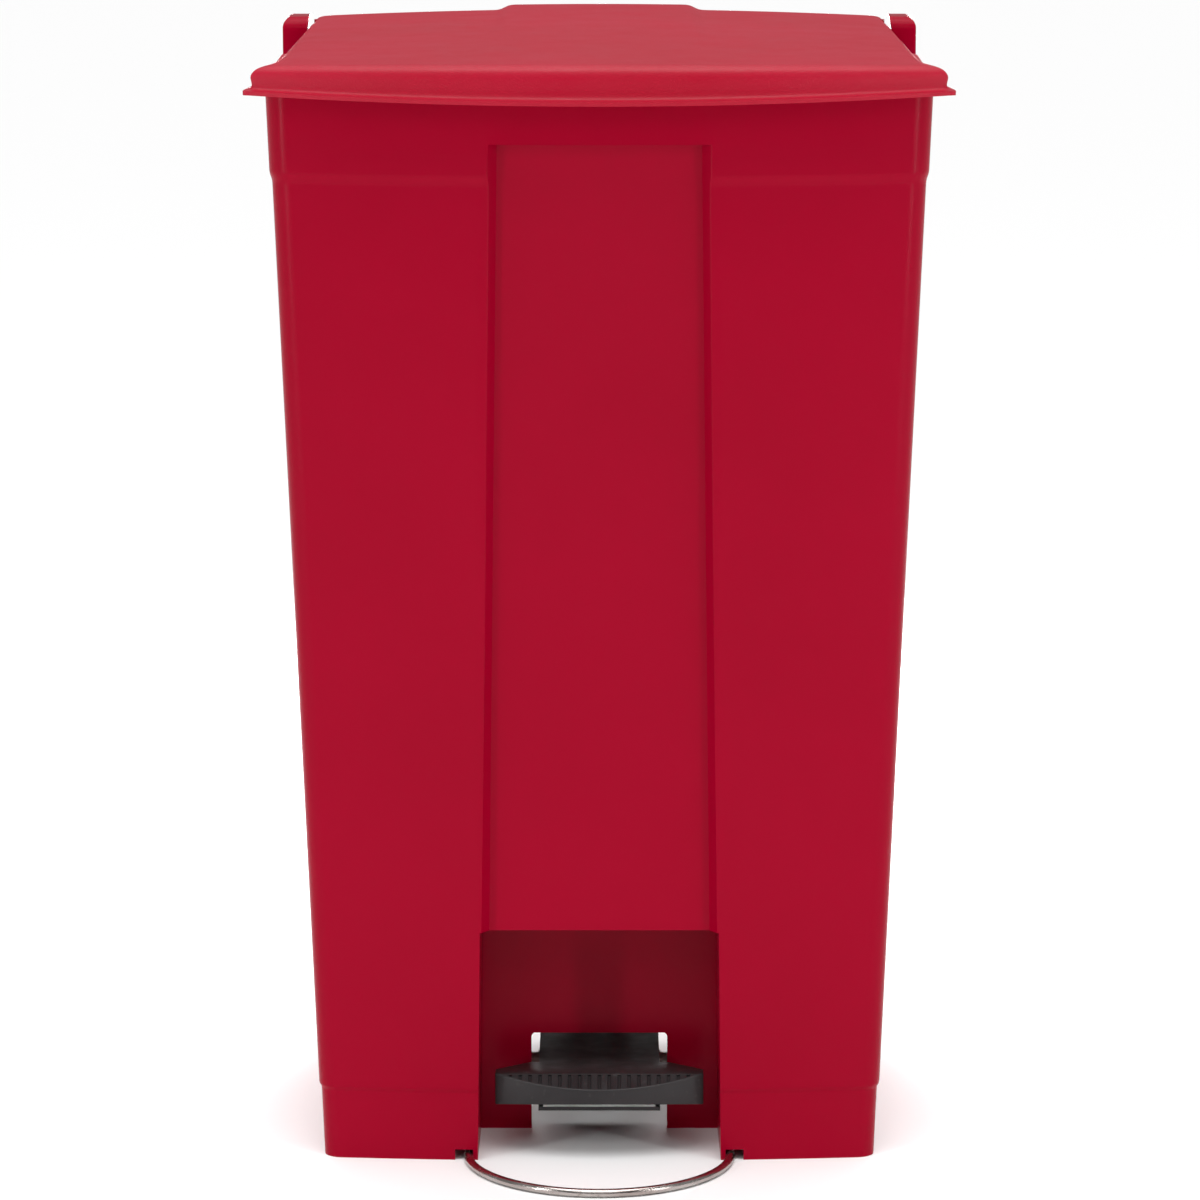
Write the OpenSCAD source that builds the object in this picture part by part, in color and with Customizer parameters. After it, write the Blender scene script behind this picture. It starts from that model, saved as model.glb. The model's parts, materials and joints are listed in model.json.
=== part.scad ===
// Step-on waste can with a pedal-lifted lid.
// Millimetres, +Z up, front faces -Y, the floor is z = 0.

/* [Overall] */

// Width across the lid's front corners
overall_width = 502; // [420:620]
// Depth from the lid's front to the rear edge
bin_depth = 410; // [340:500]
// Height from the floor to the lid's highest point
overall_height = 826; // [680:1000]

/* [Bin] */

// Width of the bin at the floor
foot_width = 407; // [330:420]
// Width of the bin across its rim band
rim_width = 474; // [400:480]
// Thickness of the moulded walls
wall = 3.2; // [2.4:0.2:4.4]
// Height of the inside floor
floor_height = 168; // [140:200]
// Height of the step around the base
base_step_height = 52; // [35:65]
// How far the base sits in below the step
base_step = 1.5; // [0.8:0.1:2]
// Height of the band below the rim
band_drop = 56; // [40:80]
// How far the band stands out
band_step = 1.6; // [0.8:0.1:2.2]
// Forward bow of the front at the rim
front_bow_top = 26; // [14:34]
// Forward bow of the front at the floor
front_bow_foot = 10; // [4:16]
// How far the front leans in from rim to floor
front_lean = 18; // [10:26]
// How far the rear leans in from rim to floor
rear_lean = 13; // [6:20]
// Radius of the upright corners
corner_radius = 10; // [7:16]
// Radius of the rear upright corners
rear_corner_radius = 16; // [10:22]

/* [Front channel and pedal recess] */

// Channel width at its top
channel_top_width = 159; // [130:170]
// Recess width at the floor
recess_width = 180; // [172:196]
// Depth of the channel
channel_depth = 11; // [8:14]
// How far each channel side slopes in
channel_draft = 7; // [3:9]
// Distance from the rim down to the channel's top
channel_drop = 33; // [26:50]
// Height of the pedal recess
recess_height = 175; // [150:190]
// Depth of the pedal recess behind the front corners
recess_depth = 76; // [66:86]
// Width of the slot for the pedal arm
slot_width = 102; // [98:112]
// Height of the slot for the pedal arm
slot_height = 75; // [70:82]

/* [Lid] */

// Thickness of the lid
lid_wall = 3; // [2.4:0.2:4]
// Gap between rim and lid
lid_gap = 2; // [1.5:0.5:3]
// How far the lid's side edges pass the bin's rim
lid_side_lap = 4.5; // [3:7]
// Drop of the lip at the front centre
lip_droop = 5; // [2:7]
// Forward bow of the lid
lid_bow = 33; // [20:38]
// Height from lip to front bend
lid_front_height = 15.5; // [11:20]
// Rise of the side edges from front to rear
lid_rise = 10.5; // [6:14]
// Crown of the top at the rear
lid_crown = 5.5; // [3:8]
// Height of the rear pad
pad_height = 4; // [2:6]
// Width of the rear pad
pad_width = 147; // [110:190]

/* [Hinge and lift] */

// How far the lid opens, degrees
lid_travel = 70; // [50:75]
// Hinge pin diameter
hinge_pin = 8; // [6:0.5:9]
// Distance of the hinge in from the rear edge
hinge_inset = 25; // [22:30]
// Thickness of each hinge ear
ear_thickness = 20; // [14:24]
// Lift rod diameter
rod_size = 6; // [5:0.5:7]
// Distance from the hinge forward to the lift rod
lift_offset = 22; // [20:26]
// Radial clearance of turning and sliding fits
running_clearance = 0.08; // [0.04:0.01:0.1]
// Play of the rod's hooks in their slots
hook_play = 1.4; // [1.3:0.1:1.8]

/* [Pedal] */

// Width of the pedal tread
tread_width = 154; // [130:160]
// Height of the tread's ridge
ridge_height = 62; // [58:66]
// Depth of the tread's front wall at its ends
tread_depth = 23.5; // [18:26]
// Width of the pedal arm
arm_width = 90; // [70:94]
// Height of the pedal arm's section
arm_depth = 28; // [24:30]
// Bow of the tread's front
tread_bow = 17; // [10:22]
// Distance from tread front to axle
pedal_reach = 137; // [120:150]
// Axle diameter
axle_size = 8; // [6:0.5:10]
// Height of the axle
axle_height = 38; // [36:44]

/* [Stabiliser wire] */

// Wire diameter
wire_size = 6.3; // [5:0.1:8]
// Clear distance between the wire's legs
wire_spacing = 187.3; // [187:0.1:200]
// How far the wire stands in front of the lid
wire_lead = 25; // [15:40]

/* [Wheels] */

// Wheel diameter
wheel_size = 50; // [44:56]
// Wheel width
wheel_width = 22; // [16:26]
// Distance between the wheels' middles
wheel_spacing = 330; // [280:340]

/* [Hidden] */

// Overlap used to make cuts run clear of the faces they open
clear = 2;
// Gap kept between parts that move past each other
gap = 0.4;

// Place of the front and the rear, with the origin midway
rear_y = (bin_depth + wire_lead) / 2;
front_y = rear_y - bin_depth;
corner_y = front_y + lid_bow;

// Heights of the lid, from its highest point down
lid_rear_edge = overall_height - pad_height - lid_crown;
lid_front_edge = lid_rear_edge - lid_rise;
lip_height = lid_front_edge - lid_front_height;
lip_thickness = 3;
rim_height = lip_height - lip_thickness / 2 - lid_gap;
band_height = rim_height - band_drop;

// Bin outline
foot_half = foot_width / 2 + base_step;
rim_half = rim_width / 2 - band_step;
rim_corner_y = corner_y + 25;
rim_rear_y = rear_y - 4;
step_run = 3;
band_run = 6;

// Hinge and ears
hinge_y = rear_y - hinge_inset;
hinge_z = lid_rear_edge - 19;
ear_outer = rim_width / 2 + 5;
ear_inner = ear_outer - ear_thickness;
lid_ear_gap = 1.2;
ear_front = hinge_y - 25;
ear_round = 10;
ear_corner = 8;
ear_height = lid_rear_edge + 2;
rear_wall_height = hinge_z - 29;
lid_rear_half = ear_inner - lid_ear_gap;
hinge_pin_head = 3;
head_inset = 0.4;
head_seat = ear_outer - hinge_pin_head - head_inset;
pin_inner = lid_rear_half - 14;

// Lift rod and its channel
rod_y = hinge_y - lift_offset;
lift_half = lift_offset * tan(lid_travel / 2);
rod_top = hinge_z - lift_half;
rod_x = 10;
rod_bend = 6;
hook_end = 12;
rod_channel_half = 21;
rod_channel_front = rod_y - 13;

// Pedal
tread_front = corner_y + 34;
axle_y = tread_front + pedal_reach;
rod_bottom = axle_height - lift_half;
tread_bottom = ridge_height - tread_depth;
ridge_y = tread_front + tread_bow;
tread_radius = (tread_width * tread_width / 4 + tread_bow * tread_bow) / (2 * tread_bow);
bevel_drop = 8;
arm_top = ridge_height - 4;
arm_bottom = arm_top - arm_depth;
tread_rear = tread_front + 58;
arm_rear = axle_y + 26;
arm_rear_bottom = axle_height - 13;
arm_front_bottom = arm_bottom + 4.5;
tread_fall = 8.2;
arm_bend = ridge_y + (ridge_height - arm_top) / tread_fall * (axle_y - ridge_y);
// Rise of the tread's lower face towards the front, per millimetre
tread_undercut = 0.28;
pedal_wall = 3.4;
rib_pitch = 7.4;
rib_count = 19;

// Recess and slot
recess_back = corner_y + 42 + recess_depth;
recess_draft = 1;
slot_half = slot_width / 2;

// Openings at the foot of the rear wall, between the rod's channel and the wheel wells
rear_arch_inner = 30;
rear_arch_outer = 126;
rear_arch_height = 110;

// Pedal axle and its hangers
hanger_gap = slot_half + 3;
hanger_thickness = 4;
axle_half = hanger_gap + hanger_thickness + 6;
nut_thickness = 2.4;
bush_flange = 1.4;

// Stabiliser wire
wire_z = wire_size / 2 + 0.2;
wire_half = (wire_spacing + wire_size) / 2;
wire_front = front_y - wire_lead + wire_size / 2;
wire_bend_y = wire_front + wire_half;
wire_rear = wire_bend_y + 110;
notch_top = wire_size + 1.7;
notch_outer = wire_half + wire_size / 2 + 6.5;
clip_y = wire_bend_y + 60;

// Wheels
wheel_x = wheel_spacing / 2;
wheel_z = wheel_size / 2 + 1;
wheel_y = rear_y - 41;
wheel_pin_size = 7;
well_inner = wheel_width / 2 + 2.4;
well_outer = well_inner + wall;

// Smoothness of round parts and of the moulded outlines
round_fine = 48;
round_small = 24;
corner_steps = 5;
bin_stations = [0, 0.08, 0.16, 0.24, 0.32, 0.4, 0.48, 0.56, 0.64, 0.72, 0.8, 0.87, 0.94, 1];

function mix(a, b, t) = a + (b - a) * t;
function clamp01(t) = min(1, max(0, t));

// Right half of an outline, from the front centre to the rear centre. The stations are shares
// of the half width at which the front and the rear get a point.
function half_outline(w, y, bow, r, side, wr, yr, rr, stations) =
  let (a = atan(2 * bow / (w - r)), xe = w - r + r * sin(a))
  concat(
    [for (s = stations) [s * xe, y - bow * (1 - s * s)]],
    [for (i = [1:corner_steps]) let (p = mix(a, 90, i / corner_steps))
      [w - r + r * sin(p), y + r * cos(a) - r * cos(p)]],
    side,
    [for (i = [0:corner_steps]) let (p = 90 * i / corner_steps)
      [wr - rr + rr * cos(p), yr - rr + rr * sin(p)]],
    [for (i = [len(stations) - 2:-1:0]) [stations[i] * (wr - rr), yr]]);

function whole_outline(h) =
  concat(h, [for (i = [len(h) - 2:-1:1]) [-h[i][0], h[i][1]]]);

// Solid through a stack of rings that all have the same number of points.
module loft(rings) {
  n = len(rings[0]);
  m = len(rings);
  first = m * n;
  last = m * n + 1;
  function middle(r) = [0, (r[0][1] + r[floor(n / 2)][1]) / 2, (r[0][2] + r[floor(n / 2)][2]) / 2];
  points = concat([for (r = rings) for (p = r) p], [middle(rings[0]), middle(rings[m - 1])]);
  sides = [for (k = [0:m - 2]) for (i = [0:n - 1]) let (j = (i + 1) % n, a = k * n, b = a + n)
    each [[a + i, b + i, b + j], [a + i, b + j, a + j]]];
  low = [for (i = [0:n - 1]) [first, i, (i + 1) % n]];
  high = [for (i = [0:n - 1]) [last, (m - 1) * n + (i + 1) % n, (m - 1) * n + i]];
  polyhedron(points = points, faces = concat(sides, low, high), convexity = 8);
}

// Bin outline at a height, moved out by a distance.
function bin_half(z) = mix(foot_half, rim_half, z / rim_height);
function bin_corner_y(z) = rim_corner_y + front_lean * (1 - z / rim_height);
function bin_bow(z) = mix(front_bow_foot, front_bow_top, z / rim_height);
function bin_rear_y(z) = rim_rear_y - rear_lean * (1 - z / rim_height);
function bin_front_y(z) = bin_corner_y(z) - bin_bow(z);

function bin_outline(z, out) =
  let (w = bin_half(z) + out, r = corner_radius + out)
  whole_outline(half_outline(w, bin_corner_y(z) - out, bin_bow(z), r, [], w,
    bin_rear_y(z) + out, rear_corner_radius + out, bin_stations));

function bin_ring(z, out) = [for (p = bin_outline(z, out)) [p[0], p[1], z]];

// The rim's front follows the lid's drooping lip.
function droop(x) = lip_droop * (1 - pow(min(1, abs(x) / (overall_width / 2)), 2));
function rim_ring(out) = [for (p = bin_outline(rim_height, out))
  [p[0], p[1], rim_height - (p[1] < rim_corner_y + 1 ? droop(p[0]) : 0)]];

module bin_outside() {
  loft([
    bin_ring(0, -base_step),
    bin_ring(base_step_height, -base_step),
    bin_ring(base_step_height + step_run, 0),
    bin_ring(band_height - band_run, 0),
    bin_ring(band_height, band_step),
    rim_ring(band_step)]);
}

module bin_hollow() {
  loft([
    bin_ring(floor_height, -wall),
    bin_ring(band_height, -wall),
    bin_ring(rim_height + clear, band_step - wall)]);
}

module base_hollow() {
  loft([
    bin_ring(-clear, -base_step - wall),
    bin_ring(base_step_height, -base_step - wall),
    bin_ring(floor_height - wall, -wall)]);
}

// Half width of the channel's front edges at a height.
function channel_half(z) = mix(recess_width, channel_top_width, z / (rim_height - channel_drop)) / 2;

// Straight-sided block between two heights, given front and back half widths.
module draft_block(z0, z1, f0, f1, b0, b1, y0, y1, k0, k1) {
  polyhedron(
    points = [[-f0, y0, z0], [f0, y0, z0], [b0, k0, z0], [-b0, k0, z0],
      [-f1, y1, z1], [f1, y1, z1], [b1, k1, z1], [-b1, k1, z1]],
    faces = [[0, 1, 2, 3], [7, 6, 5, 4], [4, 5, 1, 0], [5, 6, 2, 1], [6, 7, 3, 2], [7, 4, 0, 3]]);
}

module channel_block(out) {
  z0 = recess_height - 10;
  z1 = rim_height - channel_drop + out;
  f0 = channel_half(z0) + out;
  f1 = channel_half(z1) + out;
  y0 = bin_front_y(z0);
  y1 = bin_front_y(z1);
  back = channel_depth + out;
  // The block starts in front of the face, so its front is widened to keep the slope.
  lead = 14;
  flare = channel_draft * lead / channel_depth;
  draft_block(z0, z1, f0 + flare, f1 + flare, f0 - channel_draft, f1 - channel_draft,
    y0 - lead, y1 - lead, y0 + back, y1 + back);
}

module recess_block(out) {
  z1 = recess_height + out;
  h0 = recess_width / 2 + out;
  h1 = channel_half(z1) + out;
  y0 = bin_front_y(0) - 30;
  draft_block(-clear, z1, h0, h1, h0 - recess_draft, h1 - recess_draft, y0, y0, recess_back + out,
    recess_back + out);
}

module rod_channel_block(out) {
  translate([-rod_channel_half - out, rod_channel_front - out, -clear])
    cube([2 * (rod_channel_half + out), 80, rim_height + 2 * clear]);
}

module ear() {
  ear_low = rear_wall_height - 30;
  intersection() {
    translate([0, rear_y + clear, 0])
      rotate([90, 0, 0])
        linear_extrude(height = 60)
          polygon(concat([[ear_inner, ear_low + 14], [rim_half - wall, ear_low], [rim_half, ear_low],
            [ear_outer, ear_low + 14]],
            [for (a = [0:15:90]) [ear_outer - ear_corner + ear_corner * cos(a),
              ear_height - ear_corner + ear_corner * sin(a)]],
            [[ear_inner, ear_height]]));
    translate([ear_inner - clear, 0, 0])
      rotate([90, 0, 90])
        linear_extrude(height = ear_thickness + 2 * clear)
          union() {
            translate([ear_front, ear_low - clear])
              square([rim_rear_y - ear_front, ear_height - ear_round - ear_low + clear]);
            translate([ear_front + ear_round, ear_height - ear_round - 1])
              square([rim_rear_y - ear_front - 2 * ear_round, ear_round + 1]);
            for (y = [ear_front + ear_round, rim_rear_y - ear_round])
              translate([y, ear_height - ear_round])
                circle(r = ear_round, $fn = round_fine);
          }
  }
}

module wheel_well() {
  translate([wheel_x - well_outer, wheel_y - wheel_size / 2 - 6, 8])
    cube([2 * well_outer, wheel_size / 2 + 6 + bin_rear_y(8) - base_step - wheel_y - 0.5,
      wheel_z + wheel_size / 2 + 4 + wall - 8]);
}

module wheel_space() {
  translate([wheel_x - well_inner, wheel_y - wheel_size / 2 - 6 + wall, -clear])
    cube([2 * well_inner, wheel_size + 40, wheel_z + wheel_size / 2 + 4 + clear]);
}

module axle_hanger() {
  translate([hanger_gap, axle_y - 14, axle_height])
    cube([hanger_thickness, 28, floor_height - wall / 2 - axle_height]);
  translate([hanger_gap, axle_y, axle_height])
    rotate([0, 90, 0])
      cylinder(r = 14, h = hanger_thickness, $fn = round_fine);
}

// A bore or a pin along X.
module across(r, x0, x1, y, z, fn) {
  translate([x0, y, z])
    rotate([0, 90, 0])
      cylinder(r = r, h = x1 - x0, $fn = fn);
}

module both_sides() {
  children();
  mirror([1, 0, 0])
    children();
}

module bin_body() {
  color([0.62, 0.02, 0.13])
    difference() {
      union() {
        difference() {
          bin_outside();
          difference() {
            bin_hollow();
            channel_block(wall);
            recess_block(wall);
            rod_channel_block(wall);
          }
          difference() {
            base_hollow();
            recess_block(wall);
            rod_channel_block(wall);
          }
        }
        both_sides() {
          ear();
          wheel_well();
          axle_hanger();
        }
      }
      channel_block(0);
      recess_block(0);
      rod_channel_block(0);
      // Slot for the pedal arm
      translate([-slot_half, recess_back - clear, -clear])
        cube([2 * slot_half, wall + 2 * clear, slot_height + clear]);
      both_sides()
        translate([rear_arch_inner, bin_rear_y(0) - wall - 14, -clear])
          cube([rear_arch_outer - rear_arch_inner, 60, rear_arch_height + clear]);
      // Window for the lever in the front wall of the rod's channel
      translate([-lever_window / 2, rod_channel_front - wall - clear, -clear])
        cube([lever_window, wall + 2 * clear, lever_window_height + clear]);
      // Rear wall lowered between the ears, for the lid's swing
      translate([-ear_inner, rod_channel_front - wall - clear, rear_wall_height])
        cube([2 * ear_inner, 120, overall_height]);
      both_sides() {
        wheel_space();
        // Notch over the stabiliser wire
        translate([recess_width / 2 + wall, bin_front_y(0) - 20, -clear])
          cube([notch_outer - recess_width / 2 - wall, 40, notch_top + clear]);
        across(hinge_pin / 2, ear_inner - clear, ear_outer + clear, hinge_y, hinge_z, round_fine);
        across(hinge_pin / 2 + 3.4, head_seat, ear_outer + clear, hinge_y, hinge_z, round_fine);
        across(axle_size / 2, hanger_gap - clear, axle_half, axle_y, axle_height, round_fine);
        across(clip_screw_size / 2, clip_screw_tip, clip_outer, clip_y + clip_length / 2, clip_screw_z,
          round_small);
        across(wheel_pin_size / 2, wheel_x - well_outer - clear, wheel_x + well_outer + clear,
          wheel_y, wheel_z, round_fine);
      }
    }
}

// Lid outlines: the lip, and the bend where the side turns into the top.
function lid_half(w, bow_y, r, sides, inset) =
  half_outline(w - inset, bow_y + inset, lid_bow, r, [for (s = sides) [s[1] - inset, s[0]]],
    lid_rear_half - inset, rear_y - inset, 5, lid_stations);

lip_side = rim_width / 2 + lid_side_lap;
neck_y = ear_front - 9;
lip_sides = [
  [corner_y + 30, mix(overall_width / 2, lip_side, 0.3)],
  [corner_y + 62, mix(overall_width / 2, lip_side, 0.8)],
  [corner_y + 110, lip_side],
  [corner_y + 200, lip_side],
  [neck_y - 6, lip_side],
  [neck_y, lid_rear_half]];
bend_corner = overall_width / 2 - 4;
bend_side = lip_side - 12;
pad_share = pad_width / 2 / bend_side;
lid_stations = [0, 0.11, 0.22, pad_share, pad_share + 0.025, 0.48, 0.57, 0.66, 0.75, 0.84, 0.92, 1];
bend_sides = [
  [corner_y + 26, mix(bend_corner, bend_side, 0.62)],
  [corner_y + 50, bend_side],
  [corner_y + 110, mix(bend_side, lid_rear_half, 0.3)],
  [corner_y + 200, mix(bend_side, lid_rear_half, 0.65)],
  [neck_y - 6, lid_rear_half + 0.8],
  [neck_y, lid_rear_half]];

// Height of the top over a point, s being the share of the half width there.
pad_start = corner_y + 30;
function lid_u(y) = clamp01((y - front_y) / bin_depth);
function lid_edge(y) = lid_front_edge + lid_rise * (1 - pow(1 - lid_u(y), 3));
function pad_rise(s, y) = pad_height * clamp01((pad_share + 0.025 - abs(s)) / 0.025) *
  pow(clamp01((y - pad_start) / (rear_y - 6 - pad_start)), 1.3);
function lid_top(s, y) = lid_edge(y) + pad_rise(s, y) +
  lid_crown * (0.45 + 0.55 * lid_u(y)) * (1 - s * s);
function lip_z(x, y) = lip_height - (y < corner_y + 1 ? droop(x) : 0);

// Point of the outline's inside, on row j counted from the front corner, at a share s.
function lid_rows(h) = len(h) - 2 * len(lid_stations) + 1;
function lid_point(h, j, s) =
  let (n = len(lid_stations) - 1, p = h[n + j], a = h[n], b = h[n + lid_rows(h)])
  [s * p[0], p[1] - lid_bow * (1 - s * s) * (1 - (p[1] - a[1]) / (b[1] - a[1])), s];
lid_columns = concat([for (i = [len(lid_stations) - 1:-1:1]) -lid_stations[i]], lid_stations);

// Edge of the outline, from the front left corner round by the right.
function lid_edge_points(h) = let (m = lid_rows(h), c = len(lid_columns)) concat(
  [for (s = lid_columns) lid_point(h, 0, s)],
  [for (j = [1:m]) lid_point(h, j, 1)],
  [for (i = [c - 2:-1:0]) lid_point(h, m, lid_columns[i])],
  [for (j = [m - 1:-1:1]) lid_point(h, j, -1)]);

lip_outline_y = corner_y;
bend_outline_y = corner_y + 5;
function lip_half(inset) = lid_half(overall_width / 2, lip_outline_y, 9, lip_sides, inset);
function bend_half(inset) = lid_half(bend_corner, bend_outline_y, 11, bend_sides, inset);
function lip_ring(inset, up) =
  [for (p = lid_edge_points(lip_half(inset))) [p[0], p[1], lip_z(p[0], p[1]) + up]];
function bend_ring(inset, down) =
  [for (p = lid_edge_points(bend_half(inset))) [p[0], p[1], lid_top(p[2], p[1]) - down]];
function top_grid(inset, down) = let (h = bend_half(inset))
  [for (j = [0:lid_rows(h)]) for (s = lid_columns) let (p = lid_point(h, j, s))
    [p[0], p[1], lid_top(s, p[1]) - down]];

// One closed skin: the underside, down the inside, round the lip, up the outside and over the top.
module lid_shell() {
  m = lid_rows(bend_half(0));
  c = len(lid_columns);
  rings = [
    bend_ring(lid_wall + 1, lid_wall + 2),
    lip_ring(6.5 + lid_wall, 4),
    lip_ring(6.5 + lid_wall, -lip_thickness / 2),
    lip_ring(0, -lip_thickness / 2),
    lip_ring(0, lip_thickness / 2),
    lip_ring(4.5, lip_thickness / 2 + 0.7),
    lip_ring(6.5, 5),
    bend_ring(0.2, 3.4),
    bend_ring(1.4, 1)];
  under = top_grid(6 + lid_wall, lid_wall);
  over = top_grid(6, 0);
  n = len(rings[0]);
  g = len(under);
  first = g;
  last = g + len(rings) * n;
  function rim(start) = concat(
    [for (i = [0:c - 1]) start + i],
    [for (j = [1:m]) start + j * c + c - 1],
    [for (i = [c - 2:-1:0]) start + m * c + i],
    [for (j = [m - 1:-1:1]) start + j * c]);
  loops = concat([rim(0)], [for (k = [0:len(rings) - 1]) [for (i = [0:n - 1]) first + k * n + i]],
    [rim(last)]);
  sides = [for (k = [0:len(loops) - 2]) for (i = [0:n - 1])
    let (j = (i + 1) % n, a = loops[k], b = loops[k + 1])
    each [[a[i], b[i], b[j]], [a[i], b[j], a[j]]]];
  low = [for (j = [0:m - 1]) for (i = [0:c - 2]) let (a = j * c + i, e = a + c)
    each [[a, e + 1, e], [a, a + 1, e + 1]]];
  high = [for (j = [0:m - 1]) for (i = [0:c - 2]) let (a = last + j * c + i, e = a + c)
    each [[a, e, e + 1], [a, e + 1, a + 1]]];
  polyhedron(points = concat(under, [for (r = rings) each r], over), faces = concat(sides, low, high),
    convexity = 8);
}

// Bracket seat and hinge bosses under the lid
seat_z = hinge_z + 7;
seat_half = 26;
seat_front = hinge_y - 50;
boss_radius = hinge_pin / 2 + 5;
boss_length = 12;

module lid() {
  color([0.66, 0.04, 0.14])
    difference() {
      union() {
        lid_shell();
        translate([-seat_half, seat_front, seat_z])
          cube([2 * seat_half, 40, lid_top(0, seat_front) - lid_wall / 2 - seat_z]);
        both_sides() {
          across(boss_radius, lid_rear_half - boss_length, lid_rear_half - lid_wall / 2, hinge_y,
            hinge_z, round_fine);
          translate([lid_rear_half - boss_length, hinge_y - 2, hinge_z])
            cube([boss_length - lid_wall / 2, 4, lid_rear_edge - lid_wall / 2 - hinge_z]);
        }
      }
      both_sides()
        across(hinge_pin / 2 + running_clearance, lid_rear_half - boss_length - clear,
          lid_rear_half + clear, hinge_y, hinge_z, round_fine);
      for (s = [-1, 1])
        translate([s * screw_x, screw_y, seat_z - clear])
          cylinder(r = screw_size / 2, h = screw_grip + clear, $fn = round_small);
    }
}

module hinge_pin_right() {
  color([0.72, 0.73, 0.75]) {
    across(hinge_pin / 2, pin_inner - 3, head_seat, hinge_y, hinge_z, round_fine);
    across(hinge_pin / 2 + 3, head_seat, head_seat + hinge_pin_head, hinge_y, hinge_z, round_fine);
  }
}

module hinge_pin_left() {
  mirror([1, 0, 0])
    hinge_pin_right();
}

// Push-on nut gripping a pin along X.
module push_nut(r, x, y, z) {
  difference() {
    across(r + 4, x, x + nut_thickness, y, z, round_small);
    across(r, x - clear, x + nut_thickness + clear, y, z, round_fine);
  }
}

module pin_nut_right() {
  color([0.55, 0.56, 0.58])
    push_nut(hinge_pin / 2, pin_inner - nut_thickness, hinge_y, hinge_z);
}

module pin_nut_left() {
  mirror([1, 0, 0])
    pin_nut_right();
}

// Steel bracket on the lid: a seat plate and one cheek with a slot for the rod's hook
plate_thickness = 3;
cheek_thickness = 5;
screw_size = 5;
screw_x = 17;
screw_y = seat_front + 20;
screw_grip = 9;
slot_inner = lift_offset - 0.5;
slot_outer = lift_offset / cos(lid_travel / 2) + 0.5;
slot_radius = rod_size / 2 + hook_play;
cheek_rim = slot_radius + 5;

// Disc at a distance from the hinge, along the slot's rest direction.
module at_slot(reach, r, x0, x1) {
  a = lid_travel / 2;
  across(r, x0, x1, hinge_y - reach * cos(a), hinge_z - reach * sin(a), round_fine);
}

module slot_cut(r, x0, x1) {
  at_slot(slot_inner, r, x0, x1);
  at_slot(slot_outer, r, x0, x1);
  translate([0, hinge_y, hinge_z])
    rotate([lid_travel / 2, 0, 0])
      translate([x0, -slot_outer, -r])
        cube([x1 - x0, slot_outer - slot_inner, 2 * r]);
}

module lid_bracket() {
  h = cheek_thickness / 2;
  color([0.66, 0.67, 0.69])
    difference() {
      union() {
        translate([-seat_half + 2, seat_front + 2, seat_z - plate_thickness])
          cube([2 * seat_half - 4, 36, plate_thickness]);
        slot_cut(cheek_rim, -h, h);
        translate([-h, seat_front + 8, hinge_z - 12])
          cube([cheek_thickness, 30, seat_z - hinge_z + 12 - plate_thickness / 2]);
      }
      slot_cut(slot_radius, -h - clear, h + clear);
      for (s = [-1, 1])
        translate([s * screw_x, screw_y, seat_z - plate_thickness - clear])
          cylinder(r = screw_size / 2, h = plate_thickness + 2 * clear, $fn = round_small);
    }
}

module bracket_screw(x) {
  color([0.72, 0.73, 0.75]) {
    translate([x, screw_y, seat_z - plate_thickness])
      cylinder(r = screw_size / 2, h = plate_thickness + screw_grip - 1, $fn = round_small);
    translate([x, screw_y, seat_z - plate_thickness - 2.6])
      cylinder(r1 = screw_size - 1.2, r2 = screw_size - 0.2, h = 2.6, $fn = round_small);
  }
}

module bracket_screw_a() {
  bracket_screw(-screw_x);
}

module bracket_screw_b() {
  bracket_screw(screw_x);
}

// Rubber buttons under the lip's sides
module bumper_right() {
  color([0.08, 0.08, 0.08])
    translate([rim_half - wall / 2 - 0.4, corner_y + 110, lip_height - lip_thickness / 2 - lid_gap + 0.3])
      cylinder(r = 3.4, h = lid_gap - 0.3, $fn = round_small);
}

module bumper_left() {
  mirror([1, 0, 0])
    bumper_right();
}

// Rod with a hook at each end, passing through the bracket and the pedal lever.
module rod_hook(z, turn) {
  r = rod_size / 2;
  across(r, -hook_end, rod_x - rod_bend, rod_y, z, round_fine);
  translate([rod_x - rod_bend, rod_y, z + turn * rod_bend])
    rotate([90, 0, 0])
      rotate([0, 0, turn > 0 ? 270 : 0])
        rotate_extrude(angle = 90, $fn = round_fine)
          translate([rod_bend, 0])
            circle(r = r, $fn = round_small);
}

module lift_rod() {
  color([0.7, 0.71, 0.73]) {
    translate([rod_x, rod_y, rod_bottom + rod_bend])
      cylinder(r = rod_size / 2, h = rod_top - rod_bottom - 2 * rod_bend, $fn = round_fine);
    rod_hook(rod_bottom, 1);
    rod_hook(rod_top, -1);
  }
}

module rod_nut_top() {
  color([0.55, 0.56, 0.58])
    push_nut(rod_size / 2, -hook_end + 1, rod_y, rod_top);
}

module rod_nut_bottom() {
  color([0.55, 0.56, 0.58])
    push_nut(rod_size / 2, -hook_end + 1, rod_y, rod_bottom);
}

// Plastic guides in the rear channel
guide_height = 16;

module rod_guide(z) {
  back = rod_channel_front;
  color([0.1, 0.1, 0.1])
    difference() {
      translate([-rod_channel_half, back, z])
        cube([2 * rod_channel_half, rod_y + rod_size / 2 + 5 - back, guide_height]);
      translate([rod_x, rod_y, z - clear])
        cylinder(r = rod_size / 2 + running_clearance, h = guide_height + 2 * clear, $fn = round_fine);
    }
}

module rod_guide_top() {
  rod_guide(rear_wall_height - 90);
}

module rod_guide_bottom() {
  rod_guide(floor_height + 40);
}

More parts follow.
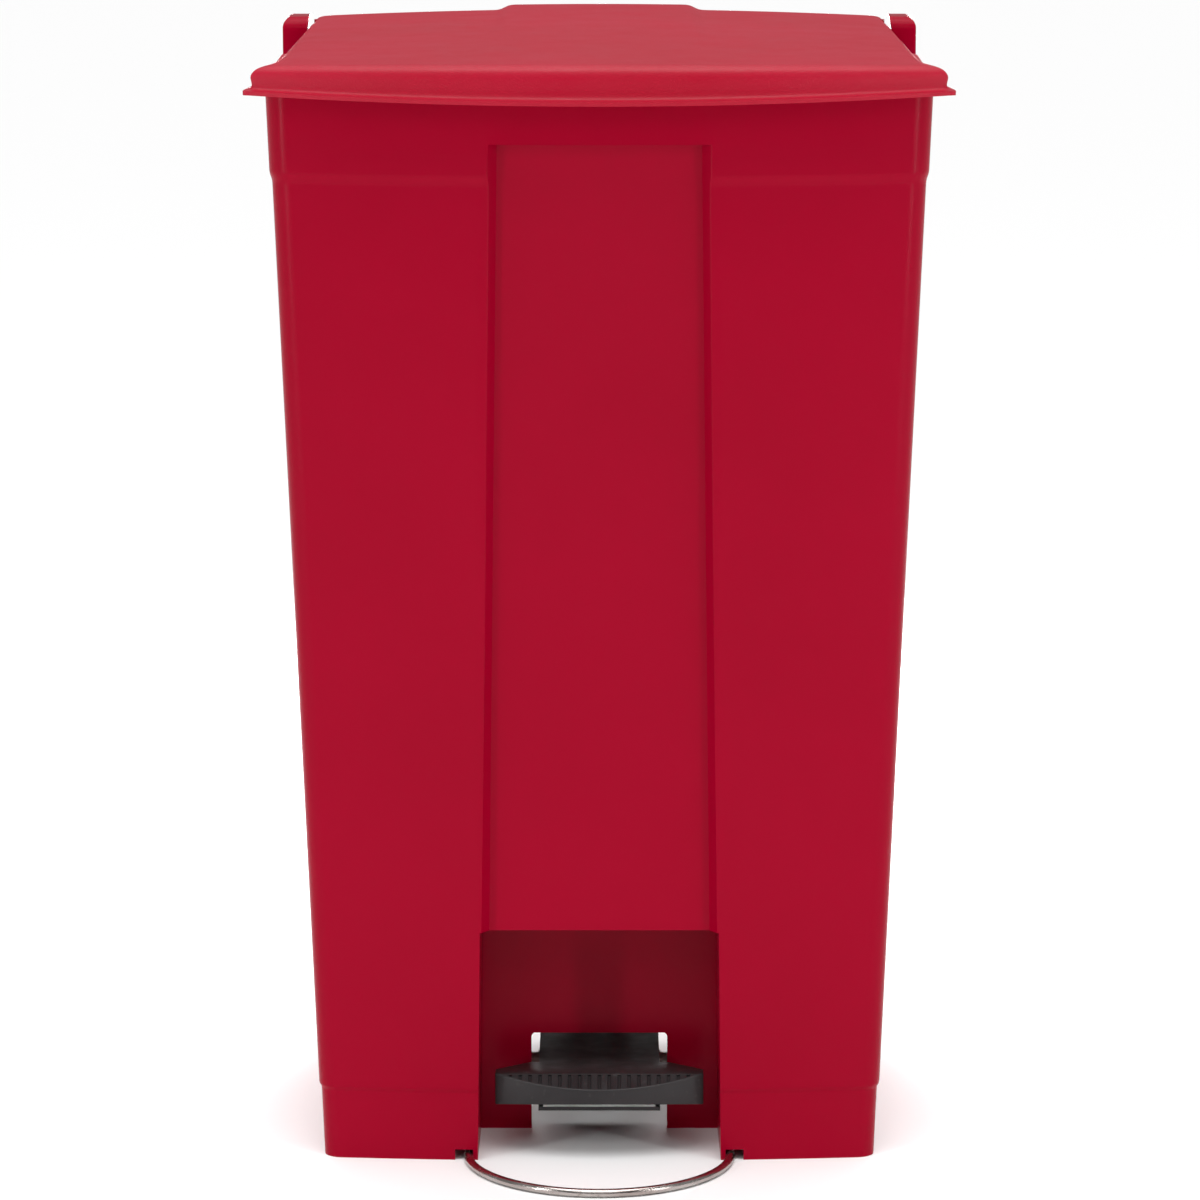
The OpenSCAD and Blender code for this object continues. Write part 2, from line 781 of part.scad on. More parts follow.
// Tread and arm in plan
module tread_plan(inset) {
  h = tread_width / 2 - inset;
  a = slot_half + 1 - inset;
  intersection() {
    polygon([[-h, tread_front - 10], [h, tread_front - 10], [h, ridge_y + 16], [a, tread_rear - inset],
      [-a, tread_rear - inset], [-h, ridge_y + 16]]);
    translate([0, tread_front + tread_radius])
      circle(r = tread_radius - inset, $fn = 180);
  }
}

// Height of the tread's top behind the ridge
function tread_top(y) = ridge_height - tread_fall * (y - ridge_y) / (axle_y - ridge_y);

// The tread's side view: a bevel in front of the ridge, a slight fall behind it, and a lower face
// that rises towards the front.
module tread_envelope(down, low) {
  z = ridge_height - down;
  ahead = tread_bow + 20;
  translate([-tread_width, 0, 0])
    rotate([90, 0, 90])
      linear_extrude(height = 2 * tread_width)
        polygon([[ridge_y - ahead, low + ahead * tread_undercut], [ridge_y, low], [axle_y, low],
          [axle_y, z - tread_fall], [ridge_y, z],
          [ridge_y - ahead, z - ahead * bevel_drop / tread_bow]]);
}

module tread_solid(inset, down, low) {
  intersection() {
    linear_extrude(height = ridge_height)
      tread_plan(inset);
    tread_envelope(down, low);
  }
}

module bevel_grooves() {
  slope = atan(bevel_drop / tread_bow);
  for (i = [0:rib_count - 1])
    translate([(i - (rib_count - 1) / 2) * rib_pitch - 1.6, ridge_y - 0.8, ridge_height - 0.4])
      rotate([slope, 0, 0])
        translate([0, -30, -0.7])
          cube([3.2, 30, 4]);
}

module arm_solid(inset) {
  h = arm_width / 2 - inset;
  down = clear * min(1, inset);
  translate([-h, 0, 0])
    rotate([90, 0, 90])
      linear_extrude(height = 2 * h)
        polygon([[tread_front + 14 + inset, arm_front_bottom - down], [axle_y - 18, arm_bottom - down],
          [arm_rear - inset, arm_rear_bottom - down], [arm_rear - inset, arm_top - inset],
          [arm_bend, arm_top - inset], [tread_rear - 2, tread_top(tread_rear - 2) - 0.05 - inset],
          [tread_front + 14 + inset, arm_top - 2 - inset]]);
}

lever_thickness = 5;
lever_height = 14;
lever_front = tread_rear + 12;
lever_top = axle_height + 5;
lever_tip = rod_y + 13;
bolt_size = 6;
bolt_front_y = lever_front + 10;
bolt_rear_y = axle_y - 20;
rib_thickness = 3.6;
bolt_grip = lever_thickness / 2 + 0.2 + rib_thickness;
bolt_head = 3.2;
lever_window = 18;
lever_window_height = axle_height + lift_half + 24;
lever_slot = rod_size / 2 + hook_play;

module pedal() {
  color([0.06, 0.06, 0.065])
    difference() {
      union() {
        difference() {
          tread_solid(0, 0, tread_bottom);
          tread_solid(pedal_wall, pedal_wall, tread_bottom - clear);
          bevel_grooves();
        }
        difference() {
          arm_solid(0);
          arm_solid(pedal_wall);
        }
        // Rib either side of the lever
        for (s = [-1, 1])
          translate([s * (bolt_grip - rib_thickness / 2) - rib_thickness / 2, lever_front - 6,
              arm_bottom + 2.5])
            cube([rib_thickness, axle_y - 8 - lever_front, arm_top - arm_bottom - 3.5]);
        // Bosses that hold the bushes
        both_sides()
          across(bush_outer + 3, arm_width / 2 - 10, arm_width / 2, axle_y, axle_height, round_fine);
      }
      // Space for the lever and its bolts
      translate([-lever_thickness / 2 - 0.1, lever_front - 0.2, arm_rear_bottom - clear])
        cube([lever_thickness + 0.2, arm_rear - lever_front + clear,
          lever_top - arm_rear_bottom + clear + 0.2]);
      both_sides()
        across(bush_outer, arm_width / 2 - 10 - clear, arm_width / 2 + clear, axle_y, axle_height,
          round_fine);
      for (y = [bolt_front_y, bolt_rear_y])
        across(bolt_size / 2, -12, 12, y, lever_bolt_z, round_small);
    }
}

lever_bolt_z = lever_top - 6.5;
bush_outer = axle_size / 2 + 2.2;

// Steel lever from the pedal arm back to the rod, turning on the axle.
module pedal_lever() {
  h = lever_thickness / 2;
  tip_z = rod_bottom;
  color([0.66, 0.67, 0.69])
    translate([-h, 0, 0])
      difference() {
        rotate([90, 0, 90])
          linear_extrude(height = lever_thickness)
            difference() {
              polygon([[lever_front, lever_top - lever_height + 3], [axle_y - 10, lever_top - lever_height],
                [axle_y + 14, axle_height - 14], [lever_tip, tip_z - 10],
                [lever_tip, tip_z + 10], [axle_y + 10, lever_top], [lever_front, lever_top]]);
              translate([axle_y, axle_height])
                circle(r = axle_size / 2 + 0.5, $fn = round_fine);
              for (y = [bolt_front_y, bolt_rear_y])
                translate([y, lever_bolt_z])
                  circle(r = bolt_size / 2, $fn = round_small);
              translate([rod_y - 1.2, tip_z])
                circle(r = lever_slot, $fn = round_fine);
              translate([rod_y + 1.2, tip_z])
                circle(r = lever_slot, $fn = round_fine);
              translate([rod_y - 1.2, tip_z - lever_slot])
                square([2.4, 2 * lever_slot]);
            }
      }
}

module lever_bolt(y) {
  color([0.72, 0.73, 0.75]) {
    across(bolt_size / 2, -bolt_grip, bolt_grip, y, lever_bolt_z, round_small);
    across(bolt_size - 1, bolt_grip, bolt_grip + bolt_head, y, lever_bolt_z, 6);
    across(bolt_size - 1, -bolt_grip - bolt_head, -bolt_grip, y, lever_bolt_z, 6);
  }
}

module lever_bolt_front() {
  lever_bolt(bolt_front_y);
}

module lever_bolt_rear() {
  lever_bolt(bolt_rear_y);
}

module pedal_axle() {
  color([0.72, 0.73, 0.75])
    across(axle_size / 2, -axle_half, axle_half, axle_y, axle_height, round_fine);
}

module axle_nut_right() {
  color([0.55, 0.56, 0.58])
    push_nut(axle_size / 2, hanger_gap + hanger_thickness, axle_y, axle_height);
}

module axle_nut_left() {
  mirror([1, 0, 0])
    axle_nut_right();
}

module pedal_bush_right() {
  color([0.85, 0.85, 0.82])
    difference() {
      union() {
        across(bush_outer, arm_width / 2 - 9, hanger_gap - gap, axle_y, axle_height, round_fine);
        across(bush_outer + 1.6, arm_width / 2, arm_width / 2 + bush_flange, axle_y, axle_height, round_fine);
      }
      across(axle_size / 2 + running_clearance, 0, axle_half, axle_y, axle_height, round_fine);
    }
}

module pedal_bush_left() {
  mirror([1, 0, 0])
    pedal_bush_right();
}

// Bent steel wire lying on the floor, with straight legs back under the bin.
module wire_loop() {
  color([0.62, 0.6, 0.58])
    translate([0, 0, wire_z]) {
      translate([0, wire_bend_y, 0])
        rotate([0, 0, 180])
          rotate_extrude(angle = 180, $fn = 128)
            translate([wire_half, 0])
              circle(r = wire_size / 2, $fn = round_small);
      for (s = [-1, 1])
        translate([s * wire_half, wire_bend_y, 0])
          rotate([-90, 0, 0])
            cylinder(r = wire_size / 2, h = wire_rear - wire_bend_y, $fn = round_small);
    }
}

// Clips that hold the wire's legs against the recess sides
clip_inner = recess_width / 2 + wall + 0.1;
clip_screw_size = 4;
clip_screw_tip = recess_width / 2 + 1.2;
clip_outer = wire_half + wire_size / 2 + 4;
clip_top = 26;
clip_length = 22;
clip_screw_z = 18;

module wire_clip_right() {
  color([0.1, 0.1, 0.1])
    difference() {
      translate([clip_inner, clip_y, 0.8])
        cube([clip_outer - clip_inner, clip_length, clip_top - 0.8]);
      translate([wire_half, clip_y - clear, wire_z])
        rotate([-90, 0, 0])
          cylinder(r = wire_size / 2 + 0.05, h = clip_length + 2 * clear, $fn = round_fine);
      across(clip_screw_size / 2, clip_inner - clear, clip_outer + clear, clip_y + clip_length / 2,
        clip_screw_z, round_small);
    }
}

module wire_clip_left() {
  mirror([1, 0, 0])
    wire_clip_right();
}

module clip_screw_right() {
  color([0.72, 0.73, 0.75]) {
    across(clip_screw_size / 2, clip_screw_tip, clip_outer, clip_y + clip_length / 2, clip_screw_z,
      round_small);
    across(clip_screw_size - 0.2, clip_outer, clip_outer + 2, clip_y + clip_length / 2, clip_screw_z,
      round_small);
  }
}

module clip_screw_left() {
  mirror([1, 0, 0])
    clip_screw_right();
}

module wheel_right() {
  r = wheel_size / 2;
  color([0.09, 0.09, 0.09])
    translate([wheel_x - wheel_width / 2, wheel_y, wheel_z])
      rotate([0, 90, 0])
        rotate_extrude($fn = round_fine)
          polygon([[wheel_pin_size / 2 + running_clearance, 0], [9, 0], [9, 3], [r - 7, 3], [r - 7, 0],
            [r - 2, 0], [r, 2], [r, wheel_width - 2], [r - 2, wheel_width], [r - 7, wheel_width],
            [r - 7, wheel_width - 3], [9, wheel_width - 3], [9, wheel_width],
            [wheel_pin_size / 2 + running_clearance, wheel_width]]);
}

module wheel_left() {
  mirror([1, 0, 0])
    wheel_right();
}

module wheel_pin_right() {
  color([0.72, 0.73, 0.75]) {
    across(wheel_pin_size / 2, wheel_x - well_outer - 3, wheel_x + well_outer, wheel_y, wheel_z, round_fine);
    across(wheel_pin_size / 2 + 2.4, wheel_x + well_outer, wheel_x + well_outer + 2.4, wheel_y, wheel_z,
      round_fine);
  }
}

module wheel_pin_left() {
  mirror([1, 0, 0])
    wheel_pin_right();
}

bin_body();
lid();
hinge_pin_left();
hinge_pin_right();
pin_nut_left();
pin_nut_right();
lid_bracket();
bracket_screw_a();
bracket_screw_b();
bumper_left();
bumper_right();
lift_rod();
rod_nut_top();
rod_nut_bottom();
rod_guide_top();
rod_guide_bottom();
pedal();
pedal_lever();
lever_bolt_front();
lever_bolt_rear();
pedal_axle();
axle_nut_left();
axle_nut_right();
pedal_bush_left();
pedal_bush_right();
wire_loop();
wire_clip_left();
wire_clip_right();
clip_screw_left();
clip_screw_right();
wheel_left();
wheel_right();
wheel_pin_left();
wheel_pin_right();
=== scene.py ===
# %% [markdown]
# # Step-on oily waste can
# A tall moulded bin with a hinged lid. A foot pedal, a lever and a rod lift the lid.
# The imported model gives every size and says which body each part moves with, so the lesson
# starts by loading it. Everything is in metres, +Z is up and the front faces -Y.

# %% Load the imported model
import json
import math
import bpy
import bmesh
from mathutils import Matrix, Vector


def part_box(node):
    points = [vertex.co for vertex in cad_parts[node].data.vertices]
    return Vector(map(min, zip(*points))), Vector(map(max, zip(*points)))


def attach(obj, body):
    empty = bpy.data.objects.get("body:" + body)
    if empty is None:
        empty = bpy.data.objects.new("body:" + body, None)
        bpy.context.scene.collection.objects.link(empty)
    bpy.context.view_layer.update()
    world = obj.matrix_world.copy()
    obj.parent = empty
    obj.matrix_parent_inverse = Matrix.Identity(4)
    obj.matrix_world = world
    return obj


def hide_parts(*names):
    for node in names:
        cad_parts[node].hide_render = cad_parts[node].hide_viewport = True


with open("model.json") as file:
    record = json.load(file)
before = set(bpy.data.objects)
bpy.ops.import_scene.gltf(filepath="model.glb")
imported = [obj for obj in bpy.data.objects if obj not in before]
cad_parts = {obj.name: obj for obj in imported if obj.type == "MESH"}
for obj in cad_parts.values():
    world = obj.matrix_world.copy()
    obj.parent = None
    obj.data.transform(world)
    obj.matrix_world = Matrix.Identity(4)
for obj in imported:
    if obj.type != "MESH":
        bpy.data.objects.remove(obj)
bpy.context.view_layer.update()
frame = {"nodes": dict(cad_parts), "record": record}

# %% [markdown]
# ## Camera
# The can is seen straight from the front, from a little above, through a long lens. A long lens
# keeps upright edges nearly parallel, which suits a product picture.

# %% Camera
camera_data = bpy.data.cameras.new("camera")
camera_data.sensor_width = 36
camera_data.lens = 153.7
camera = bpy.data.objects.new("camera", camera_data)
camera.location = (0.0005, -3.7595, 1.1207)
camera.rotation_euler = (math.radians(90 - 10.89), 0, 0)
bpy.context.scene.collection.objects.link(camera)
bpy.context.scene.camera = camera
bpy.context.scene.view_settings.view_transform = "Standard"
print("lens", camera_data.lens, "mm, height", camera.location.z, "m")

# %% [markdown]
# ## Working by hand, in code
# An edit-mode operator acts on whatever is selected, so each step first picks vertices, edges or
# faces by their place. These helpers do that picking and the switching between modes.

# %% Helpers for selecting
def work_on(piece):
    """Leaves edit mode and makes this piece the only selected and active one."""
    if bpy.context.object and bpy.context.object.mode == "EDIT":
        bpy.ops.object.mode_set(mode="OBJECT")
    bpy.ops.object.select_all(action="DESELECT")
    piece.select_set(True)
    bpy.context.view_layer.objects.active = piece


def edit(piece, kind="VERT"):
    """Opens this piece in edit mode, ready to select vertices, edges or faces."""
    work_on(piece)
    bpy.ops.object.mode_set(mode="EDIT")
    bpy.ops.mesh.select_mode(type=kind)


def done(piece):
    """Closes edit mode."""
    bpy.ops.object.mode_set(mode="OBJECT")
    return piece


def pick(test, kind="VERT"):
    """Selects, in edit mode, what passes the test of its middle point, and nothing else."""
    bpy.ops.mesh.select_mode(type=kind)
    mesh = bmesh.from_edit_mesh(bpy.context.object.data)
    for group in (mesh.faces, mesh.edges, mesh.verts):
        for part in group:
            part.select = False
    count = 0
    group = {"VERT": mesh.verts, "EDGE": mesh.edges, "FACE": mesh.faces}[kind]
    for part in group:
        if part.hide:
            continue
        if kind == "VERT":
            chosen = test(part.co)
        elif kind == "EDGE":
            chosen = test(part.verts[0].co) and test(part.verts[1].co)
        else:
            chosen = test(part.calc_center_median())
        if chosen:
            part.select_set(True)
            count += 1
    mesh.select_flush_mode()
    bmesh.update_edit_mesh(bpy.context.object.data)
    return count


def near(a, b, reach=1e-4):
    """True when two numbers are nearly the same."""
    return abs(a - b) < reach


def mix(a, b, t):
    """The value a share t of the way from a to b."""
    return a + (b - a) * t


def finish_modifier(piece, kind, **settings):
    """Adds a modifier with these settings and applies it at once."""
    work_on(piece)
    modifier = piece.modifiers.new(kind.lower(), kind)
    for name, value in settings.items():
        setattr(modifier, name, value)
    bpy.ops.object.modifier_apply(modifier=modifier.name)
    return piece


def boolean(piece, other, operation):
    """Joins, cuts or keeps the common part, then throws the other piece away."""
    finish_modifier(piece, "BOOLEAN", object=other, operation=operation, solver="EXACT")
    bpy.data.objects.remove(other)
    return piece


def soft_edges(piece, width, degrees):
    """Rounds every edge that is sharper than this angle."""
    return finish_modifier(piece, "BEVEL", width=width, segments=3, limit_method="ANGLE",
                           angle_limit=math.radians(degrees))


def smooth(piece, degrees):
    """Shades smooth, except across edges sharper than this angle."""
    work_on(piece)
    bpy.ops.object.shade_smooth_by_angle(angle=math.radians(degrees))


def settle(piece):
    """Puts the object's place into its mesh, so the object itself sits at the origin."""
    work_on(piece)
    bpy.ops.object.transform_apply(location=True, rotation=True, scale=True)
    return piece


def copy_of(piece, name):
    """A copy with a mesh of its own."""
    twin = piece.copy()
    twin.data = piece.data.copy()
    twin.name = name
    bpy.context.scene.collection.objects.link(twin)
    return twin


def block(name, low, high):
    """A cube between two corners."""
    bpy.ops.object.select_all(action="DESELECT")
    bpy.ops.mesh.primitive_cube_add(size=1, location=[(a + b) / 2 for a, b in zip(low, high)])
    piece = bpy.context.object
    piece.name = name
    piece.scale = [b - a for a, b in zip(low, high)]
    return settle(piece)


def bar(name, radius, x0, x1, y, z, sides=48):
    """A round bar along X."""
    bpy.ops.object.select_all(action="DESELECT")
    bpy.ops.mesh.primitive_cylinder_add(vertices=sides, radius=radius, depth=x1 - x0,
                                        location=((x0 + x1) / 2, y, z),
                                        rotation=(0, math.pi / 2, 0))
    piece = bpy.context.object
    piece.name = name
    return settle(piece)


def report(piece):
    """Prints the piece's faces and its box in millimetres."""
    low = [min(v.co[i] for v in piece.data.vertices) for i in range(3)]
    high = [max(v.co[i] for v in piece.data.vertices) for i in range(3)]
    print(piece.name, len(piece.data.polygons), "faces, from",
          [round(v * 1000, 1) for v in low], "to", [round(v * 1000, 1) for v in high], "mm")
    return piece


# %% [markdown]
# ## The bin's outline
# The bin tapers: it is wider at the rim than at the floor, its front leans out and bows forward
# more towards the top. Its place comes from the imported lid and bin, which are measured here, and
# the rest are the can's own sizes.

# %% Sizes of the bin
bin_low, bin_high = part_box("bin_body")
lid_low, lid_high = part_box("lid")
rear_y = lid_high.y
front_y = lid_low.y
lid_bow = 0.033
corner_y = front_y + lid_bow
lid_half = lid_high.x
rim_height = 0.787
wall = 0.0032
floor_height = 0.168
step_height = 0.052
band_height = 0.731
step_in = 0.0015
step_run = 0.003
band_out = 0.0016
band_run = 0.006


foot_half, rim_half = 0.205, 0.2354
foot_bow, rim_bow = 0.010, 0.026
front_lean, rear_lean = 0.018, 0.013
rim_back = 0.025
rim_rear = 0.004


def bin_half(z):
    """Half the bin's width at a height."""
    return mix(foot_half, rim_half, z / rim_height)


def bin_corner(z):
    """Where the front corners stand."""
    return corner_y + rim_back + front_lean * (1 - z / rim_height)


def bin_bow(z):
    """How far the front's middle stands in front of its corners."""
    return mix(foot_bow, rim_bow, z / rim_height)


def bin_rear(z):
    """Where the rear wall stands."""
    return rear_y - rim_rear - rear_lean * (1 - z / rim_height)


def bin_front(z):
    """Where the front's middle stands."""
    return bin_corner(z) - bin_bow(z)


print("packed bin", [round(high - low, 4) for low, high in zip(bin_low, bin_high)], "m overall")
print("front leans from", round(bin_front(0), 4), "to", round(bin_front(rim_height), 4))

# %% [markdown]
# ## Raising a wall from a floor plan
# The plan starts as a grid that is one face deep. Its middle front vertex is pulled forward with
# proportional editing, whose inverse-square falloff gives a true parabola, so the whole edge bows
# at once. The corners are rounded with a vertex bevel. Then the plan is extruded level by level,
# and each new level is resized and bowed again.

# %% Loft from a plan
columns = 32


def bow_level(half, z, amount, y_middle):
    """Pulls the middle of one level's front forward, the ends staying where they are."""
    pick(lambda p: p.z < z - 1e-5)
    bpy.ops.mesh.hide(unselected=False)
    pick(lambda p: near(p.x, 0) and p.y < y_middle)
    bpy.ops.transform.translate(value=(0, -amount, 0), use_proportional_edit=True,
                                proportional_edit_falloff="INVERSE_SQUARE",
                                proportional_size=half)
    bpy.ops.mesh.reveal(select=False)


def raise_walls(name, levels, out, corner=0.012):
    """Solid through levels of (height, distance outward)."""
    z, extra = levels[0]
    half = bin_half(z) + out + extra
    low = bin_corner(z) - out - extra
    high = bin_rear(z) + out + extra
    bpy.ops.object.select_all(action="DESELECT")
    bpy.ops.mesh.primitive_grid_add(x_subdivisions=columns, y_subdivisions=1, size=2,
                                    location=(0, (low + high) / 2, z))
    piece = bpy.context.object
    piece.name = name
    piece.scale = (half, (high - low) / 2, 1)
    settle(piece)
    edit(piece)
    middle = (low + high) / 2
    pick(lambda p: near(p.x, 0) and p.y < middle)
    bpy.ops.transform.translate(value=(0, -bin_bow(z), 0), use_proportional_edit=True,
                                proportional_edit_falloff="INVERSE_SQUARE",
                                proportional_size=half)
    pick(lambda p: near(abs(p.x), half))
    bpy.ops.mesh.bevel(offset=corner, segments=7, affect="VERTICES", clamp_overlap=False)
    bpy.ops.mesh.select_all(action="SELECT")
    for up, next_extra in levels[1:]:
        new_half = bin_half(up) + out + next_extra
        new_low = bin_corner(up) - out - next_extra
        new_high = bin_rear(up) + out + next_extra
        stretch = (new_high - new_low) / (high - low)
        bpy.ops.mesh.extrude_region_move(TRANSFORM_OT_translate={"value": (0, 0, up - z)})
        bpy.ops.transform.resize(value=(new_half / half, stretch, 1), center_override=(0, high, up))
        bpy.ops.transform.translate(value=(0, new_high - high, 0))
        bow_level(new_half, up, bin_bow(up) - bin_bow(z) * stretch, middle)
        pick(lambda p: p.z > up - 1e-5)
        z, half, low, high = up, new_half, new_low, new_high
    bpy.ops.mesh.select_all(action="SELECT")
    bpy.ops.mesh.normals_make_consistent(inside=False)
    return done(piece)


body = raise_walls("bin", [(0, -step_in), (step_height, -step_in), (step_height + step_run, 0),
                           (band_height - band_run, 0), (band_height, band_out),
                           (rim_height, band_out)], 0)
report(body)

# %% [markdown]
# The rim's front droops a little towards the middle, following the lid. The edges of the base
# step and of the rim band are bevelled while the mesh is still a clean grid.

# %% Rim droop and soft steps
rim_droop = 0.005
step_soft, band_soft = 0.0014, 0.0020
edit(body)
pick(lambda p: p.z < rim_height - 1e-5)
bpy.ops.mesh.hide(unselected=False)
pick(lambda p: near(p.x, 0) and p.y < 0)
bpy.ops.transform.translate(value=(0, 0, -rim_droop), use_proportional_edit=True,
                            proportional_edit_falloff="INVERSE_SQUARE", proportional_size=lid_half)
bpy.ops.mesh.reveal(select=False)
for z, size in ((step_height, step_soft), (step_height + step_run, step_soft),
                (band_height - band_run, band_soft), (band_height, band_soft)):
    pick(lambda p: near(p.z, z, 2e-5), "EDGE")
    bpy.ops.mesh.bevel(offset=size, segments=3, affect="EDGES")
done(body)
report(body)

# %% [markdown]
# ## Hollowing the bin
# The inside is a second loft, one wall thinner, standing on the inside floor. A third one hollows
# the base from below. The channel for the front, the recess for the pedal and the channel for the
# rod keep a wall round them, so a slightly larger block of each is first taken off the hollows.

# %% Blocks for the channel, the recess and the rod's channel
def taper_block(name, z0, z1, front0, front1, back0, back1, y0, y1, k0, k1):
    """A cube whose corners are moved so that it tapers both in height and in depth."""
    piece = block(name, (-1, -1, 0), (1, 1, 1))
    edit(piece)
    for up, half_front, half_back, near_y, far_y in ((0, front0, back0, y0, k0),
                                                     (1, front1, back1, y1, k1)):
        z = z1 if up else z0
        for side in (-1, 1):
            pick(lambda p: near(p.z, up) and near(p.x, side) and near(p.y, -1))
            bpy.ops.transform.translate(value=(side * (half_front - 1), near_y + 1, 0))
            pick(lambda p: near(p.z, up) and near(p.x, side) and near(p.y, 1))
            bpy.ops.transform.translate(value=(side * (half_back - 1), far_y - 1, 0))
    pick(lambda p: near(p.z, 0))
    bpy.ops.transform.translate(value=(0, 0, z0))
    pick(lambda p: near(p.z, 1))
    bpy.ops.transform.translate(value=(0, 0, z1 - 1))
    return done(piece)


below = -0.002
channel_top = rim_height - 0.033
channel_foot_half, channel_top_half = 0.090, 0.0795
channel_depth = 0.011
channel_draft = 0.007
channel_lead = 0.014
recess_top = 0.175
recess_half = 0.090
recess_draft = 0.001
recess_back = corner_y + 0.118
rod_channel_front = rear_y - 0.060
rod_channel_half = 0.021


def channel_half(z):
    """Half the channel's width in the front face."""
    return mix(channel_foot_half, channel_top_half, z / channel_top)


def channel_block(out):
    """The front channel, larger all round by out, starting in front of the bowed face."""
    z0 = recess_top - 0.010
    z1 = channel_top + out
    flare = channel_draft * channel_lead / channel_depth
    f0 = channel_half(z0) + out
    f1 = channel_half(z1) + out
    return taper_block("channel", z0, z1, f0 + flare, f1 + flare,
                       f0 - channel_draft, f1 - channel_draft, bin_front(z0) - channel_lead,
                       bin_front(z1) - channel_lead, bin_front(z0) + channel_depth + out,
                       bin_front(z1) + channel_depth + out)


def recess_block(out):
    """The pedal's recess, larger all round by out."""
    h0 = recess_half + out
    h1 = channel_half(recess_top) + out
    y0 = bin_front(0) - 0.030
    return taper_block("recess", below, recess_top + out, h0, h1, h0 - recess_draft,
                       h1 - recess_draft, y0, y0, recess_back + out, recess_back + out)


def rod_block(out):
    """The rod's channel, larger all round by out and open to the rear."""
    return block("rod_channel", (-rod_channel_half - out, rod_channel_front - out, below),
                 (rod_channel_half + out, rod_channel_front - out + 0.080, rim_height + 0.004))


# %% [markdown]
# With the blocks ready, both hollows are raised, trimmed and taken out of the bin.

# %% Hollows
inner_corner = 0.009
inside = raise_walls("inside", [(floor_height, 0), (band_height, 0),
                                (rim_height + 0.002, band_out)], -wall, inner_corner)
for cutter in (channel_block(wall), recess_block(wall), rod_block(wall)):
    boolean(inside, cutter, "DIFFERENCE")
under = raise_walls("under", [(below, -step_in), (step_height, -step_in),
                              (floor_height - wall, 0)], -wall, inner_corner)
for cutter in (recess_block(wall), rod_block(wall)):
    boolean(under, cutter, "DIFFERENCE")
report(inside)
report(under)
boolean(body, inside, "DIFFERENCE")
boolean(body, under, "DIFFERENCE")
report(body)

# %% [markdown]
# ## Ears
# The lid hinges between two ears at the rear corners. They stand on the rim and reach down the
# side in a slope. One is made on the right and mirrored to the left. The round seat in its outer
# face lets the hinge pin's head sit flush.

# %% Ears
hinge_y = rear_y - 0.025
hinge_z = 0.7975
low_rear_z = hinge_z - 0.029
ear_inner, ear_outer = 0.222, 0.242
ear_top = 0.8185
ear_low = low_rear_z - 0.030
ear_round, ear_corner = 0.010, 0.008
pin_r = 0.004


def mirrored(piece):
    """The same piece on the other side, with its faces turned the right way out again."""
    twin = copy_of(piece, piece.name + "_left")
    twin.scale.x = -1
    settle(twin)
    edit(twin)
    bpy.ops.mesh.select_all(action="SELECT")
    bpy.ops.mesh.normals_make_consistent(inside=False)
    return done(twin)


def ear():
    """What a rounded front view and a rounded side view have in common."""
    spare = 0.010
    low = (ear_inner, hinge_y - 0.025, ear_low)
    high = (ear_outer, rear_y - rim_rear, ear_top)
    piece = block("ear", low, high)
    edit(piece, "EDGE")
    pick(lambda p: near(p.z, ear_low) and near(p.x, ear_outer), "EDGE")
    bpy.ops.transform.translate(value=(0, 0, 0.014))
    pick(lambda p: near(p.z, ear_low) and near(p.x, ear_inner), "EDGE")
    bpy.ops.transform.translate(value=(0.0125, 0, 0))
    for y in (low[1], high[1]):
        pick(lambda p: near(p.z, ear_top) and near(p.y, y), "EDGE")
        bpy.ops.mesh.bevel(offset=ear_round, segments=10, affect="EDGES")
    done(piece)
    front_view = block("front_view", (ear_inner - spare, low[1] - spare, ear_low - spare),
                       (ear_outer, high[1] + spare, ear_top))
    edit(front_view, "EDGE")
    pick(lambda p: near(p.z, ear_top) and near(p.x, ear_outer), "EDGE")
    bpy.ops.mesh.bevel(offset=ear_corner, segments=10, affect="EDGES")
    done(front_view)
    boolean(piece, front_view, "INTERSECT")
    return piece


ear_right = soft_edges(ear(), 0.0008, 40)
boolean(ear_right, bar("head_seat", 0.0074, 0.2386, 0.245, hinge_y, hinge_z), "DIFFERENCE")
ear_left = mirrored(ear_right)
boolean(body, ear_right, "UNION")
boolean(body, ear_left, "UNION")
report(body)

# %% [markdown]
# ## Wheel wells and hangers
# The wheels sit in two boxes open to the floor. Two hangers reach down from the bin's inside floor
# and hold the pedal's axle; their lower ends are round about the axle.

# %% Wheel wells and hangers
wheel_x, wheel_y, wheel_z, wheel_r = 0.165, rear_y - 0.041, 0.026, 0.025
well_half = 0.0166
well_foot = 0.008
tread_front = corner_y + 0.034
axle_y, axle_z = tread_front + 0.137, 0.038
hanger_inner, hanger_outer = 0.054, 0.058
hanger_r = 0.014
well = block("well", (wheel_x - well_half, wheel_y - 0.031, well_foot),
             (wheel_x + well_half, bin_rear(well_foot) - step_in - 0.0005,
              wheel_z + wheel_r + 0.0072))
hanger = block("hanger", (hanger_inner, axle_y - hanger_r, axle_z),
               (hanger_outer, axle_y + hanger_r, floor_height - wall / 2))
hanger_foot = bar("hanger_foot", hanger_r, hanger_inner, hanger_outer, axle_y, axle_z)
boolean(hanger, hanger_foot, "UNION")
for part in (well, hanger):
    other = mirrored(part)
    boolean(body, part, "UNION")
    boolean(body, other, "UNION")
report(body)

# %% [markdown]
# ## Cutting the openings
# Now the real channel, recess and rod channel are cut, then the slot for the pedal's arm, two
# arches low in the rear wall, the window for the lever, the low rear wall that gives the lid room,
# the wheel spaces, the notches for the wire and the bores for the pins and the axle.

